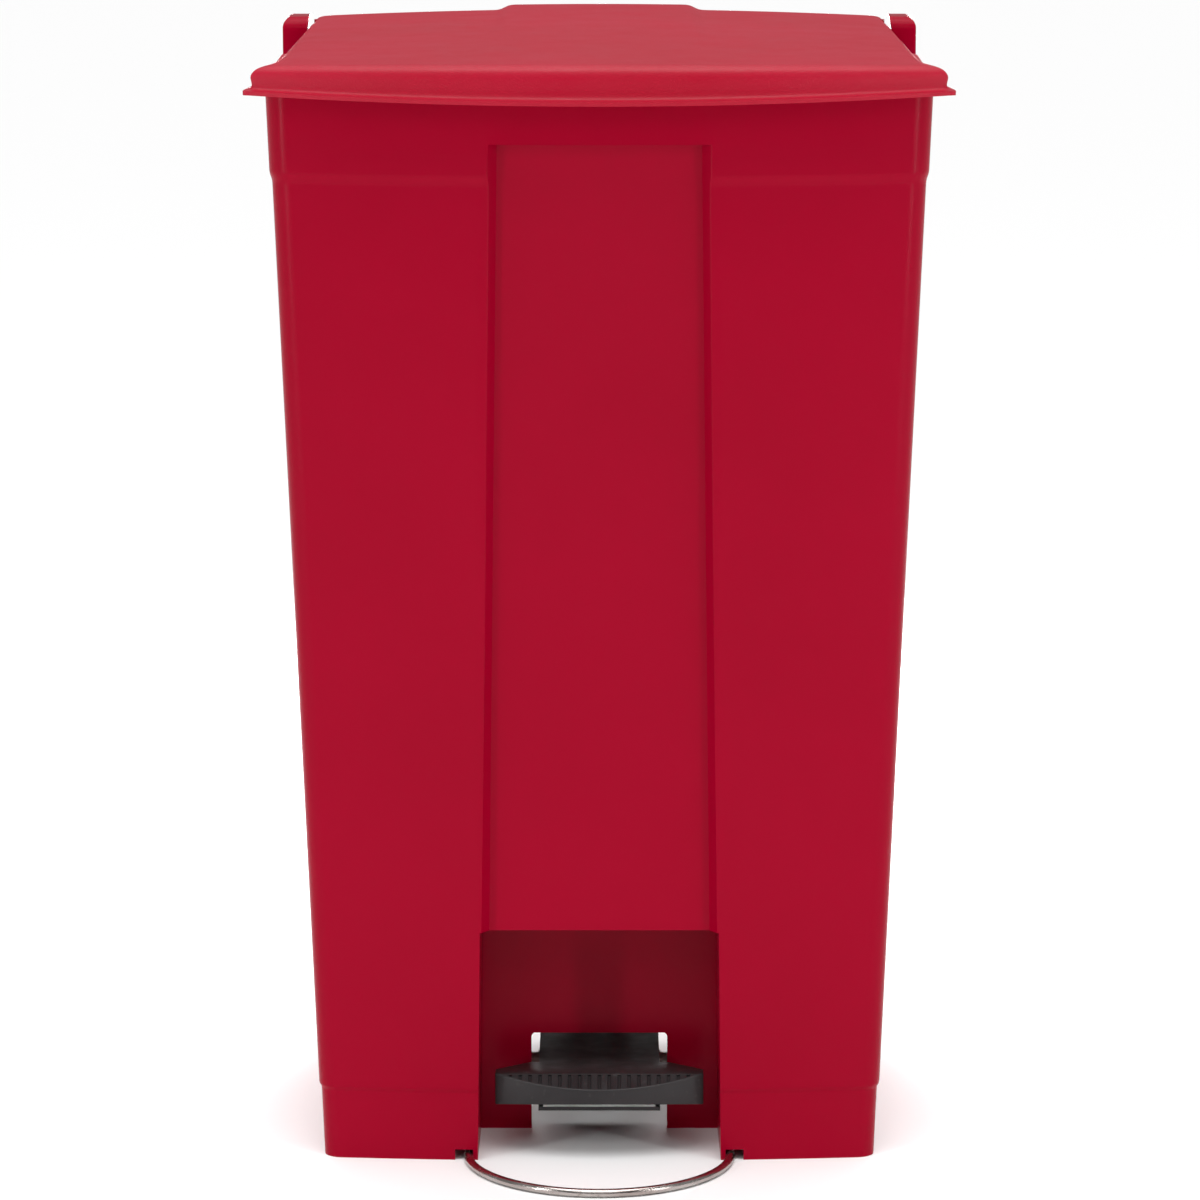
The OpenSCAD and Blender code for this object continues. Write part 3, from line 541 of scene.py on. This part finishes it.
# %% Openings
slot_half, slot_top, slot_round = 0.051, 0.075, 0.004
arch_inner, arch_outer, arch_top, arch_round = 0.030, 0.126, 0.110, 0.008
window_half, window_top = 0.009, 0.0854
wheel_room = 0.0134
notch_inner, notch_outer, notch_top = 0.0932, 0.10645, 0.008
through = 0.0052
behind = rear_y + 0.020
boolean(body, channel_block(0), "DIFFERENCE")
boolean(body, recess_block(0), "DIFFERENCE")
boolean(body, rod_block(0), "DIFFERENCE")
slot_cut = block("slot", (-slot_half, recess_back - 0.002, below),
                 (slot_half, recess_back + through, slot_top))
edit(slot_cut, "EDGE")
pick(lambda p: near(p.z, slot_top) and near(abs(p.x), slot_half), "EDGE")
bpy.ops.mesh.bevel(offset=slot_round, segments=6, affect="EDGES")
done(slot_cut)
boolean(body, slot_cut, "DIFFERENCE")
for side in (-1, 1):
    a, b = sorted((side * arch_inner, side * arch_outer))
    arch = block("arch", (a, rear_y - 0.034, below), (b, behind, arch_top))
    edit(arch, "EDGE")
    for x in (a, b):
        pick(lambda p: near(p.z, arch_top) and near(p.x, x), "EDGE")
        bpy.ops.mesh.bevel(offset=arch_round, segments=6, affect="EDGES")
    done(arch)
    boolean(body, arch, "DIFFERENCE")
boolean(body, block("window", (-window_half, rod_channel_front - through, below),
                    (window_half, rod_channel_front + 0.002, window_top)), "DIFFERENCE")
boolean(body, block("low_rear", (-ear_inner, rod_channel_front - through, low_rear_z),
                    (ear_inner, behind, 0.9)), "DIFFERENCE")
for side in (-1, 1):
    x = side * wheel_x
    boolean(body, block("wheel_space", (x - wheel_room, wheel_y - 0.0278, below),
                        (x + wheel_room, wheel_y + 0.040, wheel_z + wheel_r + 0.004)), "DIFFERENCE")
    a, b = sorted((side * notch_inner, side * notch_outer))
    boolean(body, block("wire_notch", (a, bin_front(0) - 0.020, below),
                        (b, bin_front(0) + 0.020, notch_top)), "DIFFERENCE")
    for radius, reach, y, z in ((pin_r, (0.215, 0.250), hinge_y, hinge_z),
                                (0.004, (0.040, 0.060), axle_y, axle_z),
                                (0.0035, (0.140, 0.190), wheel_y, wheel_z)):
        a, b = sorted((side * reach[0], side * reach[1]))
        boolean(body, bar("bore", radius, a, b, y, z), "DIFFERENCE")
report(body)

# %% [markdown]
# ## Fine edges
# The mould leaves a small round along the channel. Those edges are found by their place: they lie
# where the channel's sloping sides meet the front and the channel's back. The bevel comes last,
# when no more cuts follow.

# %% Fine edges
line = 2e-4


def channel_edge(p):
    """True on the lines where the channel's sides meet the front and the channel's back."""
    ahead = p.y - bin_front(p.z)
    if not recess_top + 0.008 < p.z < channel_top + line or ahead > channel_depth + line:
        return False
    side = near(abs(p.x), channel_half(p.z) - channel_draft * ahead / channel_depth, line)
    return side and (ahead < 0.007 or ahead > channel_depth - line)


edit(body)
print("channel edges", pick(channel_edge, "EDGE"))
bpy.ops.mesh.bevel(offset=0.0009, segments=2, affect="EDGES")
done(body)
report(body)
smooth(body, 28)
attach(body, "bin")
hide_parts("bin_body")

# %% [markdown]
# ## The lid
# The lid is one moulding with a thin lip all round. It starts as a flat grid whose outer rows and
# columns are kept for the bend, the skirt and the lip. Row by row the grid is put in place: moved
# to its depth and height, widened to the lid's width there, crowned and bowed with proportional
# editing. A subdivision surface then smooths the cage and a solidify gives it its thickness.

# %% Sizes of the lid
top_low = 0.806
top_rise = 0.0105
crown = 0.0055
lip_top = 0.792
lid_wall = 0.003
pad_height = 0.004


def along(points, y):
    """Straight interpolation through (y, value) pairs."""
    for (a, u), (b, v) in zip(points, points[1:]):
        if y <= b:
            return mix(u, v, max(0, (y - a) / (b - a)))
    return points[-1][1]


neck = hinge_y - 0.034
neck_half = 0.2208
bend_neck_half = neck_half - 0.0006
lip_halves = [(corner_y, lid_half), (corner_y + 0.030, 0.2481), (corner_y + 0.062, 0.2434),
              (corner_y + 0.110, 0.2415), (neck - 0.006, 0.2415), (neck, neck_half), (rear_y, neck_half)]
bend_halves = [(corner_y + 0.005, 0.247), (corner_y + 0.026, 0.2361), (corner_y + 0.050, 0.2295),
               (corner_y + 0.110, 0.2266), (corner_y + 0.200, 0.2232), (neck - 0.006, 0.2210),
               (neck, bend_neck_half), (rear_y, bend_neck_half)]


def depth_share(y):
    """How far back this is, from 0 at the front to 1 at the rear."""
    return min(1, max(0, (y - front_y) / (rear_y - front_y)))


def lid_edge(y):
    """Height of the top's side edge."""
    return top_low + top_rise * (1 - (1 - depth_share(y)) ** 3)


def pad_rise(y):
    """Height of the rear pad, which grows out of the top towards the rear."""
    start = corner_y + 0.030
    return pad_height * max(0, min(1, (y - start) / (rear_y - 0.006 - start))) ** 1.3


# %% [markdown]
# The cage has few rows and columns where the lid is flat, and several close together where it
# bends: at the top's edge, down the skirt, along the lip and at the step beside each ear. Each row
# and column carries a ring number that counts inward from the lip: 0 to 2 lie on the lip, 3 and 4
# on the bend, 5 and 6 on the top.

# %% The lid's cage
shares = [0, 0.10, 0.20, 0.29, 0.318, 0.347, 0.375, 0.48, 0.60, 0.72, 0.83, 0.91, 0.964, 0.990, 1.0]
skirt = [1.1, 1.2, 1.3]
half_columns = shares + skirt
column_places = [-c for c in half_columns[:0:-1]] + half_columns
front_rows = [(corner_y, 0), (corner_y + 0.0045, 1), (corner_y + 0.0065, 2), (corner_y + 0.0054, 3),
              (corner_y + 0.0078, 4), (corner_y + 0.0135, 5)]
middle_rows = [(corner_y + d, 6) for d in (0.018, 0.028, 0.042, 0.062, 0.088, 0.120, 0.160, 0.205,
                                           0.250, 0.288)]
neck_rows = [(neck - 0.0075, 6), (neck - 0.005, 6), (neck - 0.001, 6), (neck + 0.003, 6),
             (neck + 0.020, 6)]
rear_rows = [(rear_y - 0.0040, 5), (rear_y - 0.0012, 4), (rear_y - 0.0004, 3), (rear_y - 0.0003, 2),
             (rear_y - 0.0002, 1), (rear_y, 0)]
rows = front_rows + middle_rows + neck_rows + rear_rows
below_top = {3: 0.0066, 4: 0.0016}
above_lip = {0: 0.0, 1: 0.0007, 2: 0.0035}
skirt_in = {0: 0.0, 1: 0.0045, 2: 0.0065}
# Keeps the lip's own vertices in order where the front leans out over it
lip_back = {3: 0.0031, 4: 0.0030, 5: 0.001}

bpy.ops.object.select_all(action="DESELECT")
bpy.ops.mesh.primitive_grid_add(x_subdivisions=len(column_places) - 1, y_subdivisions=len(rows) - 1,
                                size=2, location=(0, 0, 0))
lid = bpy.context.object
lid.name = "lid_shell"
edit(lid)
flat_x = [-1 + 2 * i / (len(column_places) - 1) for i in range(len(column_places))]
flat_y = [-1 + 2 * j / (len(rows) - 1) for j in range(len(rows))]
for old, new in sorted(zip(flat_x, column_places), key=lambda pair: -abs(pair[1])):
    pick(lambda p: near(p.x, old))
    bpy.ops.transform.translate(value=(new * 2 - old, 0, 0))
pick(lambda p: True)
bpy.ops.transform.resize(value=(0.5, 1, 1), center_override=(0, 0, 0))


def pull_middle(value, reach):
    """Moves the row's middle vertex, the rest following along a parabola."""
    pick(lambda p: near(p.x, 0))
    bpy.ops.transform.translate(value=value, use_proportional_edit=True,
                                proportional_edit_falloff="INVERSE_SQUARE",
                                proportional_size=reach)


for old, (y, ring) in zip(flat_y, rows):
    lip = lip_top
    behind = y > neck - 0.003
    lip_half = along(lip_halves, y)
    half = along(bend_halves, y) if ring > 2 or behind else lip_half - 0.008
    height = lid_edge(y) - below_top.get(ring, 0) if ring > 2 else lip + above_lip[ring]
    pick(lambda p: near(p.z, 0) and near(p.y, old))
    bpy.ops.transform.translate(value=(0, y - old, height))
    bpy.ops.mesh.hide(unselected=True)
    pick(lambda p: True)
    bpy.ops.transform.resize(value=(half, 1, 1), center_override=(0, y, height))
    if ring > 2:
        crown_here = crown * (0.45 + 0.55 * depth_share(y))
        pull_middle((0, 0, crown_here), half)
        pick(lambda p: abs(p.x) < 0.325 * half)
        bpy.ops.transform.translate(value=(0, 0, pad_rise(y)))
        for column, share in ((3, 1.0), (4, 0.990)):
            extra = below_top[column] - below_top.get(ring, 0)
            if extra > 0:
                pick(lambda p: near(abs(p.x), share * half))
                bpy.ops.transform.translate(value=(0, 0, -extra))
    for column, place in ((2, 1.1), (1, 1.2), (0, 1.3)):
        inward = 0.0002 * column if behind else skirt_in[column]
        rise = lip + above_lip[min(column, ring)] - height
        for side in (-1, 1):
            pick(lambda p: near(p.x, side * place * half))
            back = lip_back.get(ring, 0) if y < 0 else 0
            bpy.ops.transform.translate(value=(side * (lip_half - inward - place * half), back, rise))
    fade = 1 - max(0, min(1, (y - corner_y) / (rear_y - corner_y)))
    if ring < 3 and y < 0:
        pull_middle((0, 0, -rim_droop), lid_half)
    pull_middle((0, -lid_bow * fade, 0), lip_half * 0.99)
    bpy.ops.mesh.reveal(select=False)
bpy.ops.mesh.select_all(action="SELECT")
bpy.ops.mesh.normals_make_consistent(inside=False)
done(lid)
report(lid)

# %% [markdown]
# The cage is smoothed and given its thickness, inward from the outer skin. The seat for the
# lifting bracket and the two hinge bosses are then joined to it.

# %% Smooth and thicken the lid
if lid.data.polygons[len(lid.data.polygons) // 2].normal.z < 0:
    edit(lid)
    bpy.ops.mesh.select_all(action="SELECT")
    bpy.ops.mesh.flip_normals()
    done(lid)
finish_modifier(lid, "SUBSURF", levels=2, render_levels=2)
finish_modifier(lid, "SOLIDIFY", thickness=lid_wall, offset=-1)
report(lid)
edit(lid)
bpy.ops.mesh.select_all(action="SELECT")
bpy.ops.mesh.normals_make_consistent(inside=False)
done(lid)
seat_z = hinge_z + 0.007
seat_half = 0.026
seat_top, web_top = 0.8185, 0.815
boss_r, web_half = 0.009, 0.002
seat = block("seat", (-seat_half, hinge_y - 0.050, seat_z), (seat_half, hinge_y - 0.010, seat_top))
boss_inner, boss_outer = ear_inner - 0.0132, ear_inner - 0.0030
boss = bar("boss", boss_r, boss_inner, boss_outer, hinge_y, hinge_z)
web = block("web", (boss_inner, hinge_y - web_half, hinge_z),
            (boss_outer, hinge_y + web_half, web_top))
boolean(boss, web, "UNION")
boolean(boss, bar("bore", pin_r + 0.00008, 0.200, 0.230, hinge_y, hinge_z), "DIFFERENCE")
boss_left = mirrored(boss)
work_on(lid)
for part in (seat, boss, boss_left):
    part.select_set(True)
bpy.ops.object.join()
smooth(lid, 40)
report(lid)
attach(lid, "lid")
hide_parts("lid")

# %% [markdown]
# ## The pedal
# The tread is a slice of a wide cylinder, cut to a trapezoid. A bevel slopes down in front of the
# ridge, deeper at the middle, so it shows as a crescent, and it carries grip flutes. The arm runs
# back through the slot. Both are hollow from below, as a moulding of even thickness has to be.

# %% Pedal
tread_bow = 0.017
bevel_fall = 0.008
ridge_y = tread_front + tread_bow
ridge_z = 0.062
tread_low = 0.0385
tread_half = 0.077
tread_rear = tread_front + 0.058
tread_corner = 0.025
tread_radius = (tread_half ** 2 + tread_bow ** 2) / (2 * tread_bow)
arm_half, arm_top = 0.045, 0.058
arm_front, arm_rear = tread_front + 0.014, axle_y + 0.026
arm_low = 0.0345
edge_soft = 0.0008
# Each slope is the upright direction of a sloping cut
bevel_cut = (0, -bevel_fall / tread_bow, 1)
top_cut = (0, 8.2 / 120, 1)
under_cut = (0, -0.28, -1)
arm_cut = (0, -9.5 / 149, -1)
bevel_slope = math.atan2(bevel_fall, tread_bow)


def slice_off(y, z, direction):
    """Cuts away, in edit mode, everything beyond a plane through (y, z) and closes the cut."""
    bpy.ops.mesh.select_all(action="SELECT")
    bpy.ops.mesh.bisect(plane_co=(0, y, z), plane_no=direction, use_fill=True, clear_outer=True)


def tread(name, inset, down, low):
    """The tread's outer shape, or a smaller one that hollows it."""
    bpy.ops.object.select_all(action="DESELECT")
    bpy.ops.mesh.primitive_cylinder_add(vertices=256, radius=tread_radius - inset, depth=0.064 - low,
                                        location=(0, tread_front + tread_radius, (0.064 + low) / 2))
    piece = settle(bpy.context.object)
    piece.name = name
    half = tread_half - inset
    plan = block("plan", (-half, tread_front - 0.01, low - 0.01), (half, tread_rear - inset, 0.08))
    edit(plan, "EDGE")
    for x in (half, -half):
        pick(lambda p: near(p.y, tread_rear - inset) and near(p.x, x), "EDGE")
        bpy.ops.mesh.bevel(offset=tread_corner, segments=1, affect="EDGES")
    done(plan)
    boolean(piece, plan, "INTERSECT")
    edit(piece)
    for z, direction in ((ridge_z - down, bevel_cut), (ridge_z - down, top_cut), (low, under_cut)):
        slice_off(ridge_y, z, direction)
    return done(piece)


pedal = soft_edges(tread("pedal_tread", 0, 0, tread_low), edge_soft, 24)
report(pedal)

# %% [markdown]
# The grip is a row of round grooves that run down the bevel. One rod is laid in the bevel, copied
# along the tread, trimmed to the tread's curve and cut away.

# %% Grip flutes
flute_r = 0.0014
flute_count, flute_step = 19, 0.0073
flute_end = 0.0013
flute_length = 0.030
bpy.ops.object.select_all(action="DESELECT")
bpy.ops.mesh.primitive_cylinder_add(vertices=24, radius=flute_r, depth=flute_length)
flute = bpy.context.object
flute.name = "flute"
flute.rotation_euler = (math.pi / 2 + bevel_slope, 0, 0)
reach = flute_length / 2 + flute_r
flute.location = (0, ridge_y - reach * math.cos(bevel_slope),
                  ridge_z - reach * math.sin(bevel_slope))
settle(flute)
flutes = []
for i in range(flute_count):
    twin = copy_of(flute, "flute_%02d" % i)
    twin.location.x = (i - flute_count // 2) * flute_step
    settle(twin)
    flutes.append(twin)
bpy.data.objects.remove(flute)
work_on(flutes[0])
for twin in flutes[1:]:
    twin.select_set(True)
bpy.ops.object.join()
bpy.ops.object.select_all(action="DESELECT")
bpy.ops.mesh.primitive_cylinder_add(vertices=256, radius=tread_radius - flute_end, depth=0.06,
                                    location=(0, tread_front + tread_radius, ridge_z))
boolean(flutes[0], settle(bpy.context.object), "INTERSECT")
boolean(pedal, flutes[0], "DIFFERENCE")
report(pedal)

# %% [markdown]
# The arm joins the tread with a small fillet on each side. Both are then hollowed from below, and
# two ribs, the axle's bosses, the room for the lever and the bores are added.

# %% Arm, ribs and bosses
def arm_block(name, inset):
    """A block with its lower side sloped and its top flat, then rising to meet the tread."""
    half = arm_half - inset
    piece = block(name, (-half, arm_front + inset, 0.010), (half, arm_rear - inset, arm_top - inset))
    wedge = block("wedge", (-half, tread_rear - 0.002, arm_top - inset - 0.004),
                  (half, ridge_y + 0.0585, ridge_z))
    edit(wedge)
    slice_off(ridge_y, ridge_z - 0.00005 - inset, top_cut)
    done(wedge)
    edit(piece)
    slice_off(arm_front, arm_low - 0.003 * (inset > 0), arm_cut)
    done(piece)
    return boolean(piece, wedge, "UNION")


boolean(pedal, soft_edges(arm_block("arm", 0), edge_soft, 50), "UNION")
fillet_r = 0.0062
bite = 0.0010
for side in (-1, 1):
    a, b = sorted((side * (arm_half - bite), side * (arm_half + fillet_r)))
    fillet = block("fillet", (a, tread_rear - bite, 0.041),
                   (b, tread_rear + fillet_r, arm_top - 0.0006))
    bpy.ops.object.select_all(action="DESELECT")
    bpy.ops.mesh.primitive_cylinder_add(vertices=64, radius=fillet_r, depth=0.060,
                                        location=(side * (arm_half + fillet_r),
                                                  tread_rear + fillet_r, 0.050))
    boolean(fillet, settle(bpy.context.object), "DIFFERENCE")
    boolean(pedal, fillet, "UNION")
wall_in = 0.0034
boolean(pedal, tread("hollow", wall_in, wall_in, tread_low - 0.002), "DIFFERENCE")
boolean(pedal, arm_block("arm_hollow", wall_in), "DIFFERENCE")
lever_front = tread_rear + 0.012
rib_inner, rib_outer = 0.0027, 0.0063
axle_boss_r, bush_r, bolt_r = 0.0092, 0.0062, 0.003
lever_half = 0.0026
for side in (-1, 1):
    a, b = sorted((side * rib_inner, side * rib_outer))
    boolean(pedal, block("rib", (a, lever_front - 0.006, 0.0325),
                         (b, axle_y - 0.014, arm_top - 0.001)), "UNION")
    a, b = sorted((side * (arm_half - 0.010), side * arm_half))
    boolean(pedal, bar("boss", axle_boss_r, a, b, axle_y, axle_z), "UNION")
    a, b = sorted((side * (arm_half - 0.012), side * (arm_half + 0.002)))
    boolean(pedal, bar("bore", bush_r, a, b, axle_y, axle_z), "DIFFERENCE")
boolean(pedal, block("lever_space", (-lever_half, lever_front - 0.0002, 0.020),
                     (lever_half, arm_rear + 0.002, axle_z + 0.0052)), "DIFFERENCE")
for y in (lever_front + 0.010, axle_y - 0.020):
    boolean(pedal, bar("bore", bolt_r, -0.012, 0.012, y, axle_z - 0.0015), "DIFFERENCE")
smooth(pedal, 30)
report(pedal)
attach(pedal, "pedal")
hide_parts("pedal")

# %% [markdown]
# ## The stabiliser wire
# A length of round wire bent into a half circle, with two straight legs back under the bin. A
# small circle is spun half a turn, then its two ends are extruded straight back.

# %% Wire
wire_low, wire_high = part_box("wire_loop")
wire_r = (wire_high.z - wire_low.z) / 2
wire_z = (wire_high.z + wire_low.z) / 2
wire_half = wire_high.x - wire_r
wire_bend_y = wire_low.y + wire_r + wire_half
bpy.ops.object.select_all(action="DESELECT")
bpy.ops.mesh.primitive_circle_add(vertices=28, radius=wire_r, fill_type="NOTHING",
                                  location=(wire_half, wire_bend_y, wire_z),
                                  rotation=(math.pi / 2, 0, 0))
wire = settle(bpy.context.object)
wire.name = "stabiliser_wire"
edit(wire)
bpy.ops.mesh.select_all(action="SELECT")
bpy.ops.mesh.spin(steps=72, angle=math.pi, center=(0, wire_bend_y, wire_z), axis=(0, 0, 1))
pick(lambda p: near(p.y, wire_bend_y))
bpy.ops.mesh.extrude_region_move(TRANSFORM_OT_translate={"value": (0, wire_high.y - wire_bend_y, 0)})
bpy.ops.mesh.select_all(action="SELECT")
bpy.ops.mesh.remove_doubles(threshold=1e-5)
bpy.ops.mesh.select_all(action="DESELECT")
bpy.ops.mesh.select_non_manifold()
bpy.ops.mesh.fill_holes(sides=0)
bpy.ops.mesh.select_all(action="SELECT")
bpy.ops.mesh.normals_make_consistent(inside=False)
done(wire)
smooth(wire, 40)
report(wire)
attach(wire, "bin")
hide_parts("wire_loop")

# %% [markdown]
# ## Materials
# Moulded plastic isn't one flat colour: it has a fine grain from the mould, slow changes of colour
# and sheen, and light scuffs. Each finish is built from noise in the object's own coordinates, so
# it stays the same from every side.

# %% How a finish is made
def spread(nodes, links, source, low, high, to_low, to_high):
    """Stretches the part of a noise between low and high over a new range."""
    node = nodes.new("ShaderNodeMapRange")
    node.inputs["From Min"].default_value = low
    node.inputs["From Max"].default_value = high
    node.inputs["To Min"].default_value = to_low
    node.inputs["To Max"].default_value = to_high
    links.new(source.outputs["Fac"], node.inputs["Value"])
    return node.outputs["Result"]


def surface(name, color, second, roughness, rough_spread, grain, grain_depth, metallic=0.0,
            specular=0.5, patch=6.0, wear=None, wear_amount=0.0):
    """Principled material with patchy colour, patchy roughness, fine grain and worn spots."""
    material = bpy.data.materials.new(name)
    material.use_nodes = True
    nodes, links = material.node_tree.nodes, material.node_tree.links
    shader = nodes["Principled BSDF"]
    shader.inputs["Metallic"].default_value = metallic
    shader.inputs["Specular IOR Level"].default_value = specular
    place = nodes.new("ShaderNodeTexCoord")

    def noise(scale, detail):
        node = nodes.new("ShaderNodeTexNoise")
        node.inputs["Scale"].default_value = scale
        node.inputs["Detail"].default_value = detail
        links.new(place.outputs["Object"], node.inputs["Vector"])
        return node

    blend = nodes.new("ShaderNodeMix")
    blend.data_type = "RGBA"
    blend.inputs["A"].default_value = (*color, 1)
    blend.inputs["B"].default_value = (*second, 1)
    links.new(spread(nodes, links, noise(patch, 4), 0.35, 0.65, 0, 1), blend.inputs["Factor"])
    final_color = blend.outputs["Result"]
    if wear:
        worn = nodes.new("ShaderNodeMix")
        worn.data_type = "RGBA"
        worn.inputs["B"].default_value = (*wear, 1)
        links.new(final_color, worn.inputs["A"])
        links.new(spread(nodes, links, noise(patch * 14, 8), 0.62, 0.72, 0, wear_amount),
                  worn.inputs["Factor"])
        final_color = worn.outputs["Result"]
    links.new(final_color, shader.inputs["Base Color"])
    links.new(spread(nodes, links, noise(patch * 5, 6), 0.3, 0.7, roughness - rough_spread,
                     roughness + rough_spread), shader.inputs["Roughness"])
    bump = nodes.new("ShaderNodeBump")
    bump.inputs["Strength"].default_value = 1.0
    bump.inputs["Distance"].default_value = grain_depth
    links.new(noise(grain, 3).outputs["Fac"], bump.inputs["Height"])
    links.new(bump.outputs["Normal"], shader.inputs["Normal"])
    return material


# %% [markdown]
# The bin's red is smooth and deep. The lid's red is coarser and catches more light, as grained lids
# do. The wire is plated and a little stained, the other steel is zinc grey, and the tyres and
# bumpers are matt rubber.

# %% The finishes
finishes = {
    "bin_red": surface("moulded_red", (0.305, 0.0, 0.0165), (0.290, 0.0, 0.0150), 0.25, 0.02, 900,
                       0.00004, specular=0.06, wear=(0.33, 0.002, 0.020), wear_amount=0.08),
    "lid_red": surface("moulded_red_grained", (0.39, 0.0, 0.020), (0.37, 0.0, 0.017), 0.42, 0.04,
                       1000, 0.00026, specular=0.26, wear=(0.41, 0.012, 0.032), wear_amount=0.10),
    "black_plastic": surface("moulded_black", (0.016, 0.014, 0.015), (0.024, 0.021, 0.022), 0.44, 0.08,
                             1400, 0.00010, specular=0.32, patch=12,
                             wear=(0.06, 0.055, 0.055), wear_amount=0.4),
    "pale_plastic": surface("nylon", (0.62, 0.60, 0.54), (0.55, 0.53, 0.47), 0.42, 0.06, 1600, 0.00005,
                            patch=20),
    "wire_steel": surface("plated_wire", (0.50, 0.47, 0.45), (0.38, 0.33, 0.31), 0.24, 0.08, 600,
                          0.00008, metallic=1.0, patch=18, wear=(0.20, 0.13, 0.10),
                          wear_amount=0.5),
    "rod_steel": surface("zinc_rod", (0.56, 0.57, 0.58), (0.48, 0.49, 0.50), 0.28, 0.07, 700,
                         0.00006, metallic=1.0, patch=20, wear=(0.3, 0.28, 0.25), wear_amount=0.3),
    "plate_steel": surface("zinc_plate", (0.50, 0.51, 0.52), (0.42, 0.43, 0.45), 0.36, 0.08, 500,
                           0.00006, metallic=1.0, patch=25, wear=(0.28, 0.26, 0.24), wear_amount=0.4),
    "fastener_steel": surface("zinc_fastener", (0.58, 0.59, 0.60), (0.50, 0.50, 0.50), 0.27, 0.06,
                              900, 0.00005, metallic=1.0, patch=30),
    "wheel_rubber": surface("wheel_rubber", (0.020, 0.020, 0.020), (0.032, 0.031, 0.030), 0.62, 0.10,
                            1200, 0.00012, specular=0.4, patch=22,
                            wear=(0.10, 0.095, 0.09), wear_amount=0.5),
    "bumper_rubber": surface("bumper_rubber", (0.018, 0.018, 0.018), (0.026, 0.026, 0.026), 0.66,
                             0.08, 1500, 0.00010, specular=0.4, patch=30),
}
print("finishes", sorted(finishes))

# %% [markdown]
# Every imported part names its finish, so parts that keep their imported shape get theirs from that
# name. The four remade pieces get the same finish as the part that each one stands in for.

# %% Give each piece its finish
node_slot = {part["node"]: part["material_slot"] for part in frame["record"]["subparts"]}
for name, piece in frame["nodes"].items():
    for index in range(len(piece.material_slots)):
        piece.material_slots[index].material = finishes[node_slot[name]]
for piece, slot in ((body, "bin_red"), (lid, "lid_red"), (pedal, "black_plastic"),
                    (wire, "wire_steel")):
    piece.data.materials.clear()
    piece.data.materials.append(finishes[slot])
print("finishes given to", len(frame["nodes"]), "packed parts and 4 remade pieces")

# %% [markdown]
# ## Floor
# The can stands on a wide pale floor. A black panel behind the camera keeps the reflections in the
# front deep, the way a studio hangs black cloth there.

# %% Floor and black panel
def stage_sheet(name, size, at, turn, shade, specular):
    """A flat sheet of plain matt paint that isn't part of the can."""
    bpy.ops.object.select_all(action="DESELECT")
    bpy.ops.mesh.primitive_plane_add(size=1, location=at, rotation=turn)
    sheet = bpy.context.object
    sheet.name = name
    sheet.scale = (*size, 1)
    paint = bpy.data.materials.new(name + "_paint")
    paint.use_nodes = True
    shader = paint.node_tree.nodes["Principled BSDF"]
    shader.inputs["Base Color"].default_value = (shade, shade, shade, 1)
    shader.inputs["Roughness"].default_value = 0.9
    shader.inputs["Specular IOR Level"].default_value = specular
    sheet.data.materials.append(paint)
    return sheet


stage_sheet("floor", (60, 60), (0, 0, 0), (0, 0, 0), 0.93, 0.1)
stage_sheet("black_panel", (5, 2.4), (0, -4.3, 1.2), (math.pi / 2, 0, 0), 0.01, 0.5)

world = bpy.data.worlds.new("studio")
bpy.context.scene.world = world
world.use_nodes = True
world.node_tree.nodes["Background"].inputs["Color"].default_value = (1, 1, 1, 1)
world.node_tree.nodes["Background"].inputs["Strength"].default_value = 0.28
print("floor, black panel and a pale studio all round")

# %% [markdown]
# ## Light
# A large soft light hangs overhead and a little behind, and a broad soft one fills the front. A low
# one behind brightens the floor that shows past the pedal's arm; it stays below the lid's top, so
# the lid doesn't mirror it. A tall narrow light on each side draws a fine line down the rounded
# corners. A very soft sun from above evens out the floor.

# %% Lights
def add_light(data, name, at, turn):
    """Puts a light in the scene as part of the stage."""
    light = bpy.data.objects.new(name, data)
    light.location = at
    light.rotation_euler = turn
    bpy.context.scene.collection.objects.link(light)
    return light


def soft_light(name, at, to, width, height, power):
    """A rectangular light that faces a point."""
    data = bpy.data.lights.new(name, "AREA")
    data.shape = "RECTANGLE"
    data.size = width
    data.size_y = height
    data.energy = power
    return add_light(data, name, at, (Vector(to) - Vector(at)).to_track_quat("-Z", "Y").to_euler())


soft_light("overhead", (0, 0.9, 2.9), (0, 0, 0.5), 2.6, 2.0, 22)
soft_light("fill", (0, -3.6, 2.8), (0, 0, 0.4), 2.8, 1.6, 18)
soft_light("low_rear", (0, 1.9, 0.72), (0, 0.10, 0), 1.6, 0.12, 36)
for side in (-1, 1):
    soft_light("strip", (side * 2.2, -1.9, 1.0), (0, 0, 0.45), 0.14, 1.9, 22)
sky = bpy.data.lights.new("sky", "SUN")
sky.energy = 2.55
sky.angle = math.radians(50)
add_light(sky, "sky", (0, 0, 0), (math.radians(12), 0, 0))
